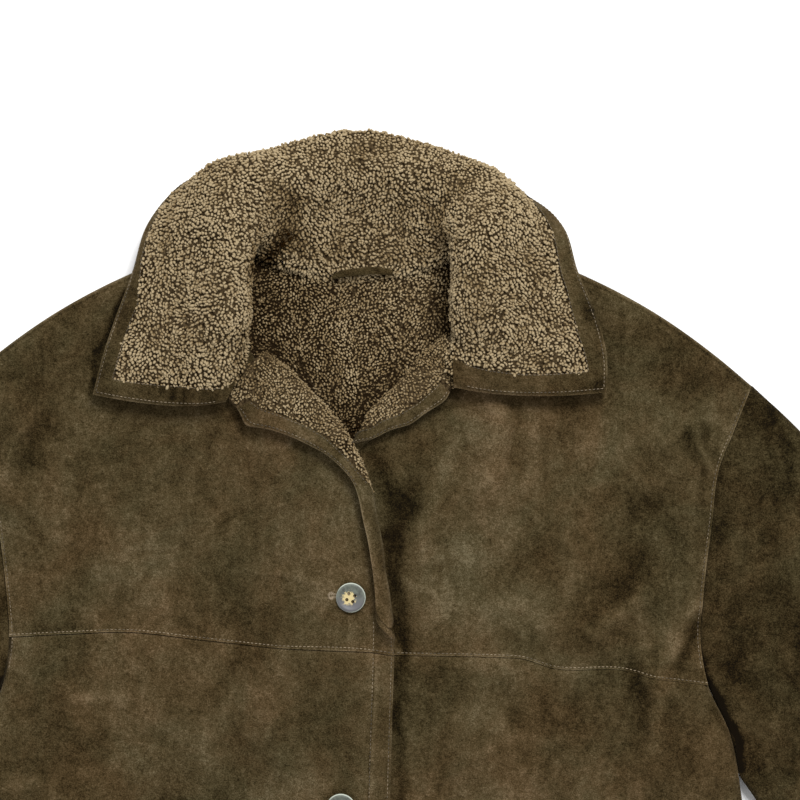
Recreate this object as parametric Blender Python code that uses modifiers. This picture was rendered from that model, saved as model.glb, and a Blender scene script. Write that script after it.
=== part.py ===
"""Button-front shearling coat, laid flat on its back with the front side up.

Tables are in millimetres and the meshes in metres. X runs to the wearer's left,
Y to the collar, and Z up from the surface that the coat lies on. The over front
is the wearer's right front, which laps over the under front.
"""
import math

import bmesh
import bpy
import numpy as np

MM = 0.001

# Walls, and the layers that lie on each other
WALL = 8.0
COLLAR_WALL = 9.5
STRIP_WALL = 1.6
STRIP_WIDTH = 17.6
GAP = 0.3
SEAM_GAP = 0.6
FRONT_LOW = WALL + GAP
LAP_RISE = WALL + GAP
LAP_START = -105.0
LAP_FULL = -55.0
UNDER_FLAT_END = 45.0
UNDER_FOLDS_FULL = 85.0

# Rings of points that round a panel's edge: how far in they lie, and the drop of the suede
# side there for each kind of edge
RIM_INSETS = (0.0, 2.4, 7.0)
RIM_DROPS = {"fold": (5.0, 1.8, 0.0), "seam": (1.2, 0.4, 0.0), "open": (2.6, 0.8, 0.0)}

# Grids of the panels: inner columns and the width for the rings, inner rows and their length
BACK_GRID = (11, 680, 18, 850)
LOWER_GRID = (9, 340, 12, 570)
SLEEVE_GRID = (5, 190, 10, 560)
YOKE_COLUMNS = (7, 300)
SHARP_ANGLE = 50.0

# Outline of the wearer's left half: x, y
SHOULDER = ((100, 415), (184, 386), (252, 351), (308, 311), (334, 289))
ARMHOLE = ((297, 38), (291, 70), (293, 112), (300, 172), (306, 219), (318, 249), (334, 289))
SIDE = ((345, -498), (337, -300), (326, -59), (316, -4), (297, 38))
BACK_NECK = ((-100, 415), (-58, 392), (0, 385), (58, 392), (100, 415))
HEM = ((-345, -498), (-170, -503), (0, -504), (170, -503), (345, -498))
SLEEVE_INNER = ((297.6, 38), (317, -4), (330, -45), (372, -150), (402, -222), (428, -290))
SLEEVE_OUTER = ((334.6, 289), (374, 252), (440, 170), (500, 60), (540, -80), (568, -234))
CUFF = ((428, -290), (500, -266), (568, -234))

# Yoke seams from the armhole to the roll line, and the front edges below them: x, y
YOKE_OVER = ((-291.4, 78), (-239, 80.6), (-189, 82), (-130, 75.6), (-71, 69.7), (14, 67))
YOKE_UNDER = ((297, 38.6), (248, 45.4), (206, 52.5), (160, 56), (97, 62.2), (36, 64.7), (-11, 65))
SIDE_TOP_OVER = ((-291, 70), (-291.4, 77.4))
EDGE_OVER = ((26, -504), (28, -280), (29.4, -59), (33, 66.4))
EDGE_UNDER = ((-33, -504), (-32, -280), (-31, -59), (-30, 64.4))

# Necklines of the fronts, from the top of the roll line to the shoulder seam: x, y
NECKLINE_OVER = ((-90, 322), (-95, 340), (-99, 370), (-99.5, 393), (-99.7, 407), (-100, 415))
NECKLINE_UNDER = ((86, 329), (93, 347), (98, 372), (99.5, 393), (99.7, 407), (100, 415))

# Roll line of each lapel from the yoke seam up: x, y, heading of the roll in degrees, how far
# the wall is turned over in degrees, width of cloth beyond the line, radius of the roll
ROLL_OVER = (
    (14, 67, 0, 0, 19, 4.2),
    (14, 79, 0, 12, 19, 4.2),
    (17, 89, 0, 80, 20, 4.2),
    (21, 99, 0, 145, 21, 4.2),
    (26, 112, 0, 180, 23, 4.2),
    (24, 135, -7, 180, 23, 4.2),
    (19, 159, 1, 180, 21, 4.2),
    (15, 180, 18, 180, 20, 4.2),
    (12, 197, 32, 180, 22, 4.2),
    (8, 213, 35, 180, 25, 4.2),
    (2, 227, 31, 180, 29, 4.2),
    (-7, 241, 26, 180, 36, 4.5),
    (-19, 257, 21, 180, 49, 5.0),
    (-33, 269, 23, 180, 60, 5.5),
    (-47, 281, 30, 180, 71, 6.0),
    (-58, 291, 32, 180, 70, 6.5),
    (-68, 299, 31, 180, 67, 7.0),
    (-77, 306, 34, 180, 54, 7.5),
    (-84, 311, 39, 180, 38, 8.0),
)
ROLL_UNDER = (
    (-11, 65, 180, 0, 19, 4.2),
    (-11, 105, 180, 0, 19, 4.2),
    (-10, 145, 178, 0, 19, 4.2),
    (-9, 185, 172, 0, 19, 4.2),
    (-6, 215, 162, 0, 17, 4.2),
    (0, 237, 143, 0, 12, 4.2),
    (7, 250, 127, 0, 8, 4.2),
    (12, 257, 119, 100, 14, 4.2),
    (17, 261, 119, 180, 25, 4.2),
    (23, 267, 119, 180, 30, 4.2),
    (31, 275, 121, 180, 37, 4.5),
    (41, 284, 125, 180, 43, 5.0),
    (52, 295, 131, 180, 46, 5.5),
    (61, 303, 133, 180, 49, 6.0),
    (67, 308, 130, 180, 44, 6.5),
    (74, 313, 127, 180, 36, 7.0),
    (80, 318, 127, 180, 28, 7.0),
)
ROLL_STEPS = 4
EDGE_LOSS = 1.8
LAPEL_GAP = 2.6

# Rows of each roll line between which the edge's strip of bare hide shows
STRIP_ROWS_OVER = (4, 17)
STRIP_ROWS_UNDER = (8, 15)

# Folds of the fronts and sleeves: x, y at both ends, half width, height
FOLDS = {
    "front_over": (
        (-150, 238, -148, 190, 30, 3),
        (-282, 262, -296, 200, 24, 6),
        (-300, -60, -230, -66, 26, 5),
        (-180, -180, -160, -420, 38, 5),
        (-98, -150, -112, -330, 34, 4),
    ),
    "front_under": (
        (120, 268, 118, 205, 24, 5),
        (236, 118, 200, 74, 26, 6),
        (272, 240, 282, 190, 22, 5),
        (262, 40, 258, -30, 28, 5),
        (180, -120, 200, -400, 38, 6),
        (100, -20, 92, -240, 30, 4),
    ),
    "sleeve": (
        (380, 150, 372, 20, 30, 7),
        (470, 20, 452, -60, 28, 5),
        (402, -60, 500, -96, 22, 5),
        (432, -170, 520, -190, 24, 5),
    ),
}

# Collar from the over gorge round the back neck to the under gorge: neck edge, top of the
# stand, ridge of the roll, middle of the fall, outer edge, each x, y, z of the wall's middle
COLLAR = (
    ((-110, 277, 29), (-126, 276, 30), (-150, 275, 30), (-186, 278, 28), (-216, 284, 25)),
    ((-99, 304, 33), (-106, 303, 38), (-138, 302, 36), (-178, 305, 30), (-211, 312, 25)),
    ((-100, 342, 26), (-88, 339, 38), (-100, 338, 49), (-150, 338, 37), (-202, 339, 24)),
    ((-101, 382, 24), (-86, 378, 39), (-99, 382, 55), (-143, 385, 41), (-185, 384, 23)),
    ((-97, 418, 23), (-79, 412, 38), (-96, 424, 55), (-136, 430, 40), (-172, 424, 17)),
    ((-68, 401, 13), (-63, 425, 27), (-96, 458, 44), (-128, 462, 28), (-146, 450, 9)),
    ((-36, 390.5, 8), (-38, 428, 18), (-62, 474, 34), (-76, 484, 18), (-66, 465, 8)),
    ((2, 386.8, 6.5), (2, 430, 13), (2, 480, 26), (2, 498, 15), (2, 477, 7.5)),
    ((38, 390.5, 8), (42, 428, 18), (64, 473, 34), (76, 482, 18), (66, 463, 8)),
    ((70, 401, 13), (68, 427, 28), (94, 456, 44), (122, 458, 28), (140, 445, 9)),
    ((98, 418, 23), (77, 416, 38), (96, 428, 55), (134, 430, 40), (167, 421, 17)),
    ((101, 382, 24), (80, 382, 39), (97, 386, 55), (140, 387, 41), (180, 384, 23)),
    ((96, 348, 25), (81, 346, 37), (98, 346, 49), (146, 342, 37), (198, 343, 24)),
    ((92, 316, 33), (101, 315, 39), (132, 313, 37), (172, 312, 30), (207, 313, 25)),
    ((88, 290, 29), (104, 287, 30), (134, 284, 30), (172, 283, 28), (208, 285, 25)),
)
COLLAR_ROWS = 28
COLLAR_COLUMNS = 15
COLLAR_WIDTH = 150.0
COLLAR_EDGE_LOSS = 2.4
COLLAR_LENGTH = 620.0

# Buttons: x, y of each centre
BUTTONS = ((-3.4, 111.6), (-11.8, -65.1), (-14, -242), (-15, -418))
BUTTON_RADIUS = 12.8
BUTTON_HOLE_RADIUS = 1.2
BUTTON_HOLE_PITCH = 2.6
BUTTON_HEIGHT = 4.0
BUTTON_STEPS = 16
BUTTON_PROFILE = ((0, 3.0), (7.2, 3.0), (8.6, BUTTON_HEIGHT), (11.2, BUTTON_HEIGHT),
                  (BUTTON_RADIUS, 2.4), (11.0, 0), (0, 0))

# Hanger loop: x, y of its middle line, and its height
LOOP = ((-21, 381.5), (-8, 383.4), (7, 384.8), (22, 385), (33, 383))
LOOP_WIDTH = 6.5
LOOP_HEIGHT = 12.9
LOOP_STEPS = 8

# Finishes: colour, roughness
FINISHES = {
    "suede": ((0.075, 0.052, 0.025), 0.95),
    "fleece": ((0.16, 0.115, 0.06), 1.0),
    "horn": ((0.21, 0.2, 0.15), 0.35),
}


def finish(name):
    """The Principled material of one finish."""
    material = bpy.data.materials.get(name)
    if material is None:
        colour, roughness = FINISHES[name]
        material = bpy.data.materials.new(name)
        material.use_nodes = True
        shader = material.node_tree.nodes["Principled BSDF"]
        shader.inputs["Base Color"].default_value = (*colour, 1)
        shader.inputs["Roughness"].default_value = roughness
    return material


def shares_of(points):
    """How far along its straight runs each point of a line lies, from 0 to 1."""
    chords = np.linalg.norm(np.diff(points, axis=0), axis=1)
    return np.concatenate(([0.0], np.cumsum(chords))) / chords.sum()


def curve(points):
    """A smooth curve through the points, read by the share of its length."""
    points = np.array(points, float)
    knots = shares_of(points)
    slopes = np.gradient(points, knots, axis=0)
    length = np.linalg.norm(np.diff(points, axis=0), axis=1).sum()
    slopes *= length / np.linalg.norm(slopes, axis=1, keepdims=True)

    def at(share):
        first = min(int(np.searchsorted(knots, share, side="right")) - 1, len(knots) - 2)
        span = knots[first + 1] - knots[first]
        t = (share - knots[first]) / span
        start = (1 + 2 * t) * (1 - t) ** 2 * points[first] + t * (1 - t) ** 2 * span * slopes[first]
        end = t * t * (3 - 2 * t) * points[first + 1] + t * t * (t - 1) * span * slopes[first + 1]
        return start + end

    return at


def edge_line(points, shares):
    """Straight runs between the points, each point put at the nearest of a panel's shares.

    Panels that meet at a seam have the same corners there, so their edges never cross.
    """
    points = np.array(points, float)
    natural = shares_of(points)
    places = []
    for mark in natural:
        nearest = min(range(len(shares)), key=lambda index: abs(shares[index] - mark))
        places.append(max(nearest, places[-1] + 1) if places else nearest)
    marks = [shares[place] for place in places]

    def at(share):
        return np.array([np.interp(share, marks, points[:, 0]), np.interp(share, marks, points[:, 1])])

    return at


def patch(bottom, top, left, right):
    """The flat panel inside four edge curves: u runs from left to right, v from bottom to top."""
    def at(u, v):
        sides = (1 - u) * left(v) + u * right(v)
        ends = (1 - v) * bottom(u) + v * top(u)
        corners = ((1 - v) * ((1 - u) * bottom(0.0) + u * bottom(1.0))
                   + v * ((1 - u) * top(0.0) + u * top(1.0)))
        return sides + ends - corners

    return at


def mirrored(points):
    """The same outline on the wearer's right."""
    return tuple((-x, y) for x, y in points)


def shifted(points, dx, dy):
    """The same outline moved aside."""
    return tuple((x + dx, y + dy) for x, y in points)


def stations(count, length, closed_end=True):
    """Shares of a length with the rim's rings at the start, and at the end where it is closed."""
    start = [inset / length for inset in RIM_INSETS]
    end = [1 - share for share in reversed(start)] if closed_end else [1.0]
    inner = np.linspace(start[-1], end[0], count + 2)[1:-1]
    return start + list(inner) + end


def rim_drop(index, last, start_kind, end_kind):
    """Drop of the suede side on one ring, from whichever edge is near."""
    drop = 0.0
    if index < len(RIM_INSETS):
        drop = RIM_DROPS[start_kind][index]
    if end_kind and last - index < len(RIM_INSETS):
        drop = max(drop, RIM_DROPS[end_kind][last - index])
    return drop


def ease(value):
    """Smooth step from 0 to 1."""
    value = min(max(value, 0.0), 1.0)
    return value * value * (3 - 2 * value)


def fold_height(x, y, folds):
    """Height of the soft folds over a point."""
    height = 0.0
    for x0, y0, x1, y1, half_width, rise in folds:
        along = (x1 - x0, y1 - y0)
        share = ((x - x0) * along[0] + (y - y0) * along[1]) / (along[0] ** 2 + along[1] ** 2)
        share = min(max(share, 0.0), 1.0)
        distance = math.hypot(x - x0 - share * along[0], y - y0 - share * along[1])
        height += rise * math.exp(-(distance / half_width) ** 2)
    return height


def add_object(name, bm, finish_name):
    """Link a finished bmesh as a named object of the coat."""
    bmesh.ops.recalc_face_normals(bm, faces=bm.faces)
    mesh = bpy.data.meshes.new(name)
    bm.to_mesh(mesh)
    bm.free()
    mesh.shade_smooth()
    mesh.set_sharp_from_angle(angle=math.radians(SHARP_ANGLE))
    mesh.materials.append(finish(finish_name))
    made = bpy.data.objects.new(name, mesh)
    coat.objects.link(made)
    return made


def wall(name, finish_name, columns, rows, suede_side, fleece_side, kept=None):
    """A closed wall over a grid of columns by rows, with both sides placed point by point."""
    bm = bmesh.new()
    bmesh.ops.create_grid(bm, x_segments=columns, y_segments=rows, size=1)
    if kept:
        dropped = []
        for face in bm.faces:
            centre = face.calc_center_median()
            column = int((centre.x + 1) / 2 * columns)
            row = int((centre.y + 1) / 2 * rows)
            if not kept(column, row):
                dropped.append(face)
        bmesh.ops.delete(bm, geom=dropped, context="FACES")
    first = list(bm.verts)
    extruded = bmesh.ops.extrude_face_region(bm, geom=bm.faces[:])
    second = [item for item in extruded["geom"] if isinstance(item, bmesh.types.BMVert)]
    for verts, side in ((first, suede_side), (second, fleece_side)):
        for vert in verts:
            column = round((vert.co.x + 1) / 2 * columns)
            row = round((vert.co.y + 1) / 2 * rows)
            vert.co = [float(value) * MM for value in side(column, row)]
    return add_object(name, bm, finish_name)


def back_panel(name, plan, us, vs, kinds):
    """A panel of the under layer: its suede side rests on the surface."""
    left, right, bottom, top = kinds

    def suede(column, row):
        x, y = plan(us[column], vs[row])
        drop = max(rim_drop(column, len(us) - 1, left, right), rim_drop(row, len(vs) - 1, bottom, top))
        return x, y, drop

    def fleece(column, row):
        x, y = plan(us[column], vs[row])
        return x, y, WALL

    wall(name, "suede", len(us) - 1, len(vs) - 1, suede, fleece)


def front_panel(name, plan, us, vs, kinds, lift):
    """A panel of the upper layer: its fleece lies on the under layer or above it."""
    left, right, bottom, top = kinds

    def suede(column, row):
        x, y = plan(us[column], vs[row])
        drop = max(rim_drop(column, len(us) - 1, left, right), rim_drop(row, len(vs) - 1, bottom, top))
        return x, y, lift(x, y) + WALL - drop

    def fleece(column, row):
        x, y = plan(us[column], vs[row])
        return x, y, lift(x, y)

    wall(name, "suede", len(us) - 1, len(vs) - 1, suede, fleece)


def over_lift(x, y):
    """Underside of the over front, which climbs on to the under front."""
    lap = LAP_RISE * ease((x - LAP_START) / (LAP_FULL - LAP_START))
    return FRONT_LOW + lap + fold_height(x, y, FOLDS["front_over"])


def under_lift(x, y):
    """Underside of the under front, flat where the over front lies on it."""
    clear = ease((x - UNDER_FLAT_END) / (UNDER_FOLDS_FULL - UNDER_FLAT_END))
    return FRONT_LOW + clear * fold_height(x, y, FOLDS["front_under"])


def sleeve_lift(x, y):
    """Underside of a sleeve's front half."""
    return FRONT_LOW + fold_height(abs(x), y, FOLDS["sleeve"])


def yoke_panel(name, strip_name, plan, us, vs, roll, lift, strip_rows):
    """A front above the yoke seam: a flat panel as far as the roll line, and the lapel beyond it.

    The rows follow the roll line's table, and above the lapel the neckline.
    """
    table = np.array(roll, float)
    flat = len(us) - 1
    columns = flat + ROLL_STEPS + 3
    rows = len(vs) - 1
    lapel_top = len(roll) - 1
    half = WALL / 2

    def beyond(column, row):
        """Length of cloth between the roll line and a column of the lapel."""
        _, _, _, _, width, radius = table[row]
        step = column - flat
        turned = min(math.pi * radius, width - 3 * RIM_INSETS[1])
        if step <= ROLL_STEPS:
            return turned * step / ROLL_STEPS
        return (max(width - STRIP_WIDTH, turned + 1), width - RIM_INSETS[1], width)[step - ROLL_STEPS - 1]

    def place(column, row, offset):
        """Point at an offset from the wall's middle, towards the suede side."""
        if column <= flat:
            x, y = plan(us[column], vs[row])
            return x, y, lift(x, y) + half + offset
        x, y, heading, turn, width, radius = table[row]
        heading = math.radians(heading)
        turn = math.radians(turn)
        length = beyond(column, row)
        angle = min(length / radius, turn)
        straight = max(length - radius * turn, 0.0)
        out = radius * math.sin(angle) + straight * math.cos(angle)
        up = radius * (1 - math.cos(angle)) + straight * math.sin(angle)
        foot = lift(x, y) + half
        px = x + (out - offset * math.sin(angle)) * math.cos(heading)
        py = y + (out - offset * math.sin(angle)) * math.sin(heading)
        pz = foot + up + offset * math.cos(angle)
        if straight > 0 and turn > math.pi - 0.01:
            rest = lift(px, py) + half + WALL + LAPEL_GAP - foot - up
            pz += rest * ease(straight / max(width - radius * turn, 1.0))
        return px, py, pz

    def thickness(column, row):
        """Half the wall, thinner at the lapel's free edge."""
        return half - (EDGE_LOSS if column == columns else 0.0)

    def suede(column, row):
        drop = RIM_DROPS["seam"][0] if row == 0 or row > lapel_top and column == flat else 0.0
        if column <= flat:
            drop = max(drop, rim_drop(column, columns, "seam", "seam"), rim_drop(row, rows, "seam", "fold"))
        return place(column, row, thickness(column, row) - drop)

    def fleece(column, row):
        return place(column, row, -thickness(column, row))

    def strip_low(column, row):
        return place(column, row, -thickness(column, row) - GAP)

    def strip_high(column, row):
        return place(column, row, -thickness(column, row) - GAP - STRIP_WALL)

    def on_panel(column, row):
        return column < flat or row < lapel_top

    def on_strip(column, row):
        return column > flat + ROLL_STEPS and strip_rows[0] <= row < strip_rows[1]

    wall(name, "suede", columns, rows, suede, fleece, on_panel)
    wall(strip_name, "suede", columns, rows, strip_low, strip_high, on_strip)


def make_back():
    """The back, from the hem to the shoulder and neck seams."""
    us = stations(*BACK_GRID[:2])
    vs = stations(*BACK_GRID[2:])
    top = edge_line(mirrored(SHOULDER)[:0:-1] + BACK_NECK + SHOULDER[1:], us)
    side = SIDE + ARMHOLE[1:]
    plan = patch(edge_line(HEM, us), top, edge_line(mirrored(side), vs), edge_line(side, vs))
    back_panel("back", plan, us, vs, ("fold", "fold", "open", "fold"))


def make_fronts():
    """Both fronts: the panels below the yoke seam, and the yokes with their lapels."""
    us = stations(*LOWER_GRID[:2])
    vs = stations(*LOWER_GRID[2:])
    for name, hem, yoke, side, edge, lift in (
            ("front_lower_over", mirrored(HEM[3:])[::-1], YOKE_OVER, mirrored(SIDE) + SIDE_TOP_OVER,
             EDGE_OVER, over_lift),
            ("front_lower_under", HEM[:2:-1], YOKE_UNDER, SIDE, EDGE_UNDER, under_lift)):
        low_yoke = shifted(yoke, 0, -SEAM_GAP) + (edge[-1],)
        plan = patch(edge_line(hem + (edge[0],), us), edge_line(low_yoke, us),
                     edge_line(side, vs), edge_line(edge, vs))
        front_panel(name, plan, us, vs, ("fold", "open", "open", "seam"), lift)

    us = stations(*YOKE_COLUMNS, closed_end=False)
    for name, strip, yoke, armhole, shoulder, neckline, roll, lift, strip_rows in (
            ("front_upper_over", "front_strip_over", YOKE_OVER, mirrored(ARMHOLE)[2:],
             mirrored(SHOULDER), NECKLINE_OVER, ROLL_OVER, over_lift, STRIP_ROWS_OVER),
            ("front_upper_under", "front_strip_under", YOKE_UNDER, ARMHOLE[1:],
             SHOULDER, NECKLINE_UNDER, ROLL_UNDER, under_lift, STRIP_ROWS_UNDER)):
        inner = tuple(row[:2] for row in roll) + neckline
        vs = shares_of(np.array(inner, float))
        plan = patch(edge_line(yoke, us), edge_line(shoulder[::-1], us),
                     edge_line(yoke[:1] + armhole, vs), edge_line(inner, vs))
        yoke_panel(name, strip, plan, us, vs, roll, lift, strip_rows)


def make_sleeves():
    """Both sleeves, each a front half on a back half."""
    us = stations(*SLEEVE_GRID[:2])
    vs = stations(*SLEEVE_GRID[2:])
    kinds = ("fold", "fold", "seam", "open")
    for side, flip in (("under", tuple), ("over", mirrored)):
        armhole = flip(shifted(ARMHOLE, SEAM_GAP, 0))
        plan = patch(edge_line(armhole, us), curve(flip(CUFF)),
                     edge_line(flip(SLEEVE_INNER), vs), curve(flip(SLEEVE_OUTER)))
        front_panel("sleeve_" + side + "_front", plan, us, vs, kinds, sleeve_lift)
        back_panel("sleeve_" + side + "_back", plan, us, vs, kinds)


def make_collar():
    """The collar, and the strip of bare hide along its edge on the fleece side."""
    lines = [curve([station[part] for station in COLLAR]) for part in range(len(COLLAR[0]))]
    ends = [inset / COLLAR_LENGTH for inset in (0, RIM_INSETS[1], STRIP_WIDTH)]
    inner = np.linspace(ends[-1], 1 - ends[-1], COLLAR_ROWS + 1)[1:-1]
    rows = ends + list(inner) + [1 - share for share in reversed(ends)]
    edge = [1 - inset / COLLAR_WIDTH for inset in (STRIP_WIDTH, RIM_INSETS[1], 0)]
    shares = list(np.linspace(0, edge[0], COLLAR_COLUMNS + 1)) + edge[1:]
    middle = np.array([[curve([line(row) for line in lines])(share) for share in shares] for row in rows])
    along = np.gradient(middle, axis=0)
    across = np.gradient(middle, axis=1)
    normals = np.cross(along, across)
    normals /= np.linalg.norm(normals, axis=2, keepdims=True)
    last_row = len(rows) - 1
    last_share = len(shares) - 1

    def half(column, row):
        loss = COLLAR_EDGE_LOSS if column == last_share or row in (0, last_row) else 0.0
        return COLLAR_WALL / 2 - loss

    def at(column, row, offset):
        return middle[row, column] + offset * normals[row, column]

    def suede(column, row):
        return at(column, row, -half(column, row))

    def fleece(column, row):
        return at(column, row, half(column, row))

    def strip_low(column, row):
        return at(column, row, half(column, row) + GAP)

    def strip_high(column, row):
        return at(column, row, half(column, row) + GAP + STRIP_WALL)

    def on_strip(column, row):
        return column >= last_share - 2 or row < 2 or row >= last_row - 2

    wall("collar", "fleece", last_share, last_row, suede, fleece)
    wall("collar_strip", "suede", last_share, last_row, strip_low, strip_high, on_strip)


def button_holes():
    """The mesh that cuts the four holes of a button."""
    bm = bmesh.new()
    for column in (-1, 1):
        for row in (-1, 1):
            made = bmesh.ops.create_cone(bm, cap_ends=True, segments=6, depth=3 * BUTTON_HEIGHT * MM,
                                         radius1=BUTTON_HOLE_RADIUS * MM, radius2=BUTTON_HOLE_RADIUS * MM)
            bmesh.ops.translate(bm, verts=made["verts"],
                                vec=(column * BUTTON_HOLE_PITCH * MM, row * BUTTON_HOLE_PITCH * MM, 0))
    mesh = bpy.data.meshes.new("button_holes")
    bm.to_mesh(mesh)
    bm.free()
    return mesh


def make_buttons():
    """Four-hole buttons: a turned disc with four holes cut through."""
    hole_mesh = button_holes()
    for number, (x, y) in enumerate(BUTTONS, start=1):
        rest = max(over_lift(x + side * BUTTON_RADIUS, y) for side in (-1, 0, 1)) + WALL + 2 * GAP
        bm = bmesh.new()
        points = [bm.verts.new((radius * MM, 0, height * MM)) for radius, height in BUTTON_PROFILE]
        for start, end in zip(points, points[1:]):
            bm.edges.new((start, end))
        button = add_object(f"button_{number}", bm, "horn")
        button.location = (x * MM, y * MM, rest * MM)
        turned = button.modifiers.new("turned", "SCREW")
        turned.steps = turned.render_steps = BUTTON_STEPS
        turned.use_merge_vertices = True
        turned.merge_threshold = 0.00001
        holes = bpy.data.objects.new(f"button_{number}_holes", hole_mesh)
        holes.location = button.location
        holes.hide_render = True
        holes.display_type = "WIRE"
        cutters.objects.link(holes)
        drill = button.modifiers.new("holes", "BOOLEAN")
        drill.operation = "DIFFERENCE"
        drill.solver = "EXACT"
        drill.object = holes


def make_loop():
    """The hanger loop, a flat strap sewn in at the back neck."""
    line = curve(LOOP)

    def side(height):
        def at(column, row):
            x, y = line(column / LOOP_STEPS)
            return x, y + (row - 0.5) * LOOP_WIDTH, LOOP_HEIGHT + height

        return at

    wall("hanger_loop", "suede", LOOP_STEPS, 1, side(STRIP_WALL / 2), side(-STRIP_WALL / 2))


for old in list(bpy.data.objects):
    bpy.data.objects.remove(old, do_unlink=True)
coat = bpy.data.collections.new("shearling_coat")
cutters = bpy.data.collections.new("cutters")
bpy.context.scene.collection.children.link(coat)
bpy.context.scene.collection.children.link(cutters)

make_back()
make_fronts()
make_sleeves()
make_collar()
make_buttons()
make_loop()
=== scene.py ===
import math

import bmesh
import bpy
import numpy as np
from mathutils import Matrix, Vector, noise
from mathutils.bvhtree import BVHTree


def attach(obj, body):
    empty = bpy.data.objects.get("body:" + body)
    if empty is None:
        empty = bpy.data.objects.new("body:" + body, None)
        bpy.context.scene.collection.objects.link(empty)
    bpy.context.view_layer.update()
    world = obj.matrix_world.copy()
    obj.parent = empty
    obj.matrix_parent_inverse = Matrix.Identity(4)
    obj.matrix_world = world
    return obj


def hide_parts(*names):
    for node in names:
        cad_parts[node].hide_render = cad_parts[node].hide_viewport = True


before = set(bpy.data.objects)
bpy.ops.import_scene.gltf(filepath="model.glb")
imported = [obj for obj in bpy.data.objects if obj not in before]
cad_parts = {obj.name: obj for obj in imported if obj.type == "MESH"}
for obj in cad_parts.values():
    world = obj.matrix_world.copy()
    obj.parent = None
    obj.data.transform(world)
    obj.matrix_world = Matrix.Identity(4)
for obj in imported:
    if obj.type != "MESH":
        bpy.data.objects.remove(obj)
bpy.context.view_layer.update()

MM = 0.001

# The camera looks straight down on the laid-out coat from far above, so that the collar,
# which stands highest, isn't enlarged. The lens frames a square of the surface.
VIEW_CENTRE = (37.8, 277.2)
VIEW_WIDTH = 672.0
VIEW_HEIGHT = 2620.0
SURFACE_HEIGHT = 20.0
SENSOR_WIDTH = 36.0
camera_data = bpy.data.cameras.new("camera")
camera_data.sensor_width = SENSOR_WIDTH
camera_data.lens = SENSOR_WIDTH * (VIEW_HEIGHT - SURFACE_HEIGHT) / VIEW_WIDTH
camera = bpy.data.objects.new("camera", camera_data)
camera.location = (VIEW_CENTRE[0] * MM, VIEW_CENTRE[1] * MM, VIEW_HEIGHT * MM)
bpy.context.scene.collection.objects.link(camera)
bpy.context.scene.camera = camera
bpy.context.scene.view_settings.view_transform = "Standard"

# The floor is a plain white sheet under even studio light: a bright room, with one broad
# lamp over the collar and a smaller one at the side.
FLOOR_SIZE = 12.0
FLOOR_DROP = 0.4
PAPER_WHITE = (0.9, 0.9, 0.9, 1)
PAPER_ROUGHNESS = 0.9
ROOM_WHITE = (1, 1, 1, 1)
ROOM_LIGHT = 0.62

# Each lamp's name, place and size in metres, and power
LAMPS = (
    ("lamp_collar", (0.75, 1.95, 2.30), 1.1, 101.0),
    ("lamp_side", (-2.2, 0.2, 1.5), 0.9, 14.0),
)
LAMP_TARGET = Vector((0.02, 0.2, 0.0))
bm = bmesh.new()
bmesh.ops.create_grid(bm, x_segments=1, y_segments=1, size=FLOOR_SIZE / 2)
bmesh.ops.translate(bm, verts=bm.verts, vec=(0, 0, -FLOOR_DROP * MM))
floor_mesh = bpy.data.meshes.new("floor")
bm.to_mesh(floor_mesh)
bm.free()
floor = bpy.data.objects.new("floor", floor_mesh)
bpy.context.scene.collection.objects.link(floor)
paper = bpy.data.materials.new("paper")
paper.use_nodes = True
paper_shader = paper.node_tree.nodes["Principled BSDF"]
paper_shader.inputs["Base Color"].default_value = PAPER_WHITE
paper_shader.inputs["Roughness"].default_value = PAPER_ROUGHNESS
floor_mesh.materials.append(paper)
world = bpy.data.worlds.new("room")
world.use_nodes = True
room = world.node_tree.nodes["Background"]
room.inputs["Color"].default_value = ROOM_WHITE
room.inputs["Strength"].default_value = ROOM_LIGHT
bpy.context.scene.world = world
for lamp_name, place, size, power in LAMPS:
    lamp_data = bpy.data.lights.new(lamp_name, "AREA")
    lamp_data.size = size
    lamp_data.energy = power
    lamp = bpy.data.objects.new(lamp_name, lamp_data)
    lamp.location = place
    lamp.rotation_euler = (LAMP_TARGET - Vector(place)).to_track_quat("-Z", "Y").to_euler()
    bpy.context.scene.collection.objects.link(lamp)

# Napped sheepskin hide, vegetable dyed dark olive brown: cloudy where the nap lies in different
# ways, rubbed pale on edges, paler on ridges partly by rubbing and partly by painted light, and
# darker in creases by painted shade.
HIDE_TONES = (
    # The darkest stop takes painted shadow in cracks down to near black
    (0.02, (0.0040, 0.0024, 0.0008)),
    (0.16, (0.0130, 0.0083, 0.0022)),
    (0.34, (0.0310, 0.0215, 0.0085)),
    (0.50, (0.0520, 0.0370, 0.0160)),
    (0.66, (0.0760, 0.0555, 0.0280)),
    (0.84, (0.1300, 0.0980, 0.0560)),
)
HIDE_WARM = (1.08, 0.97, 0.90, 1)
HIDE_COOL = (0.95, 1.02, 1.00, 1)
WARMTH_PATTERN = (11.0, 5.0, 0.65, 0.5)
WARMTH_RANGE = (0.36, 0.64)
COMB_STRETCH = (1.0, 0.36, 1.0)
COMB_TURN = (0, 0, 0.4)
HIDE_SURFACE = {
    "Roughness": 0.95,
    "Specular IOR Level": 0.05,
    "Sheen Weight": 0.08,
    "Sheen Roughness": 0.5,
    "Sheen Tint": (0.5, 0.4, 0.25, 1),
}
HIDE_RELIEF = (0.75, 0.0015)
MIDDLE_TONE = 0.5

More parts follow.
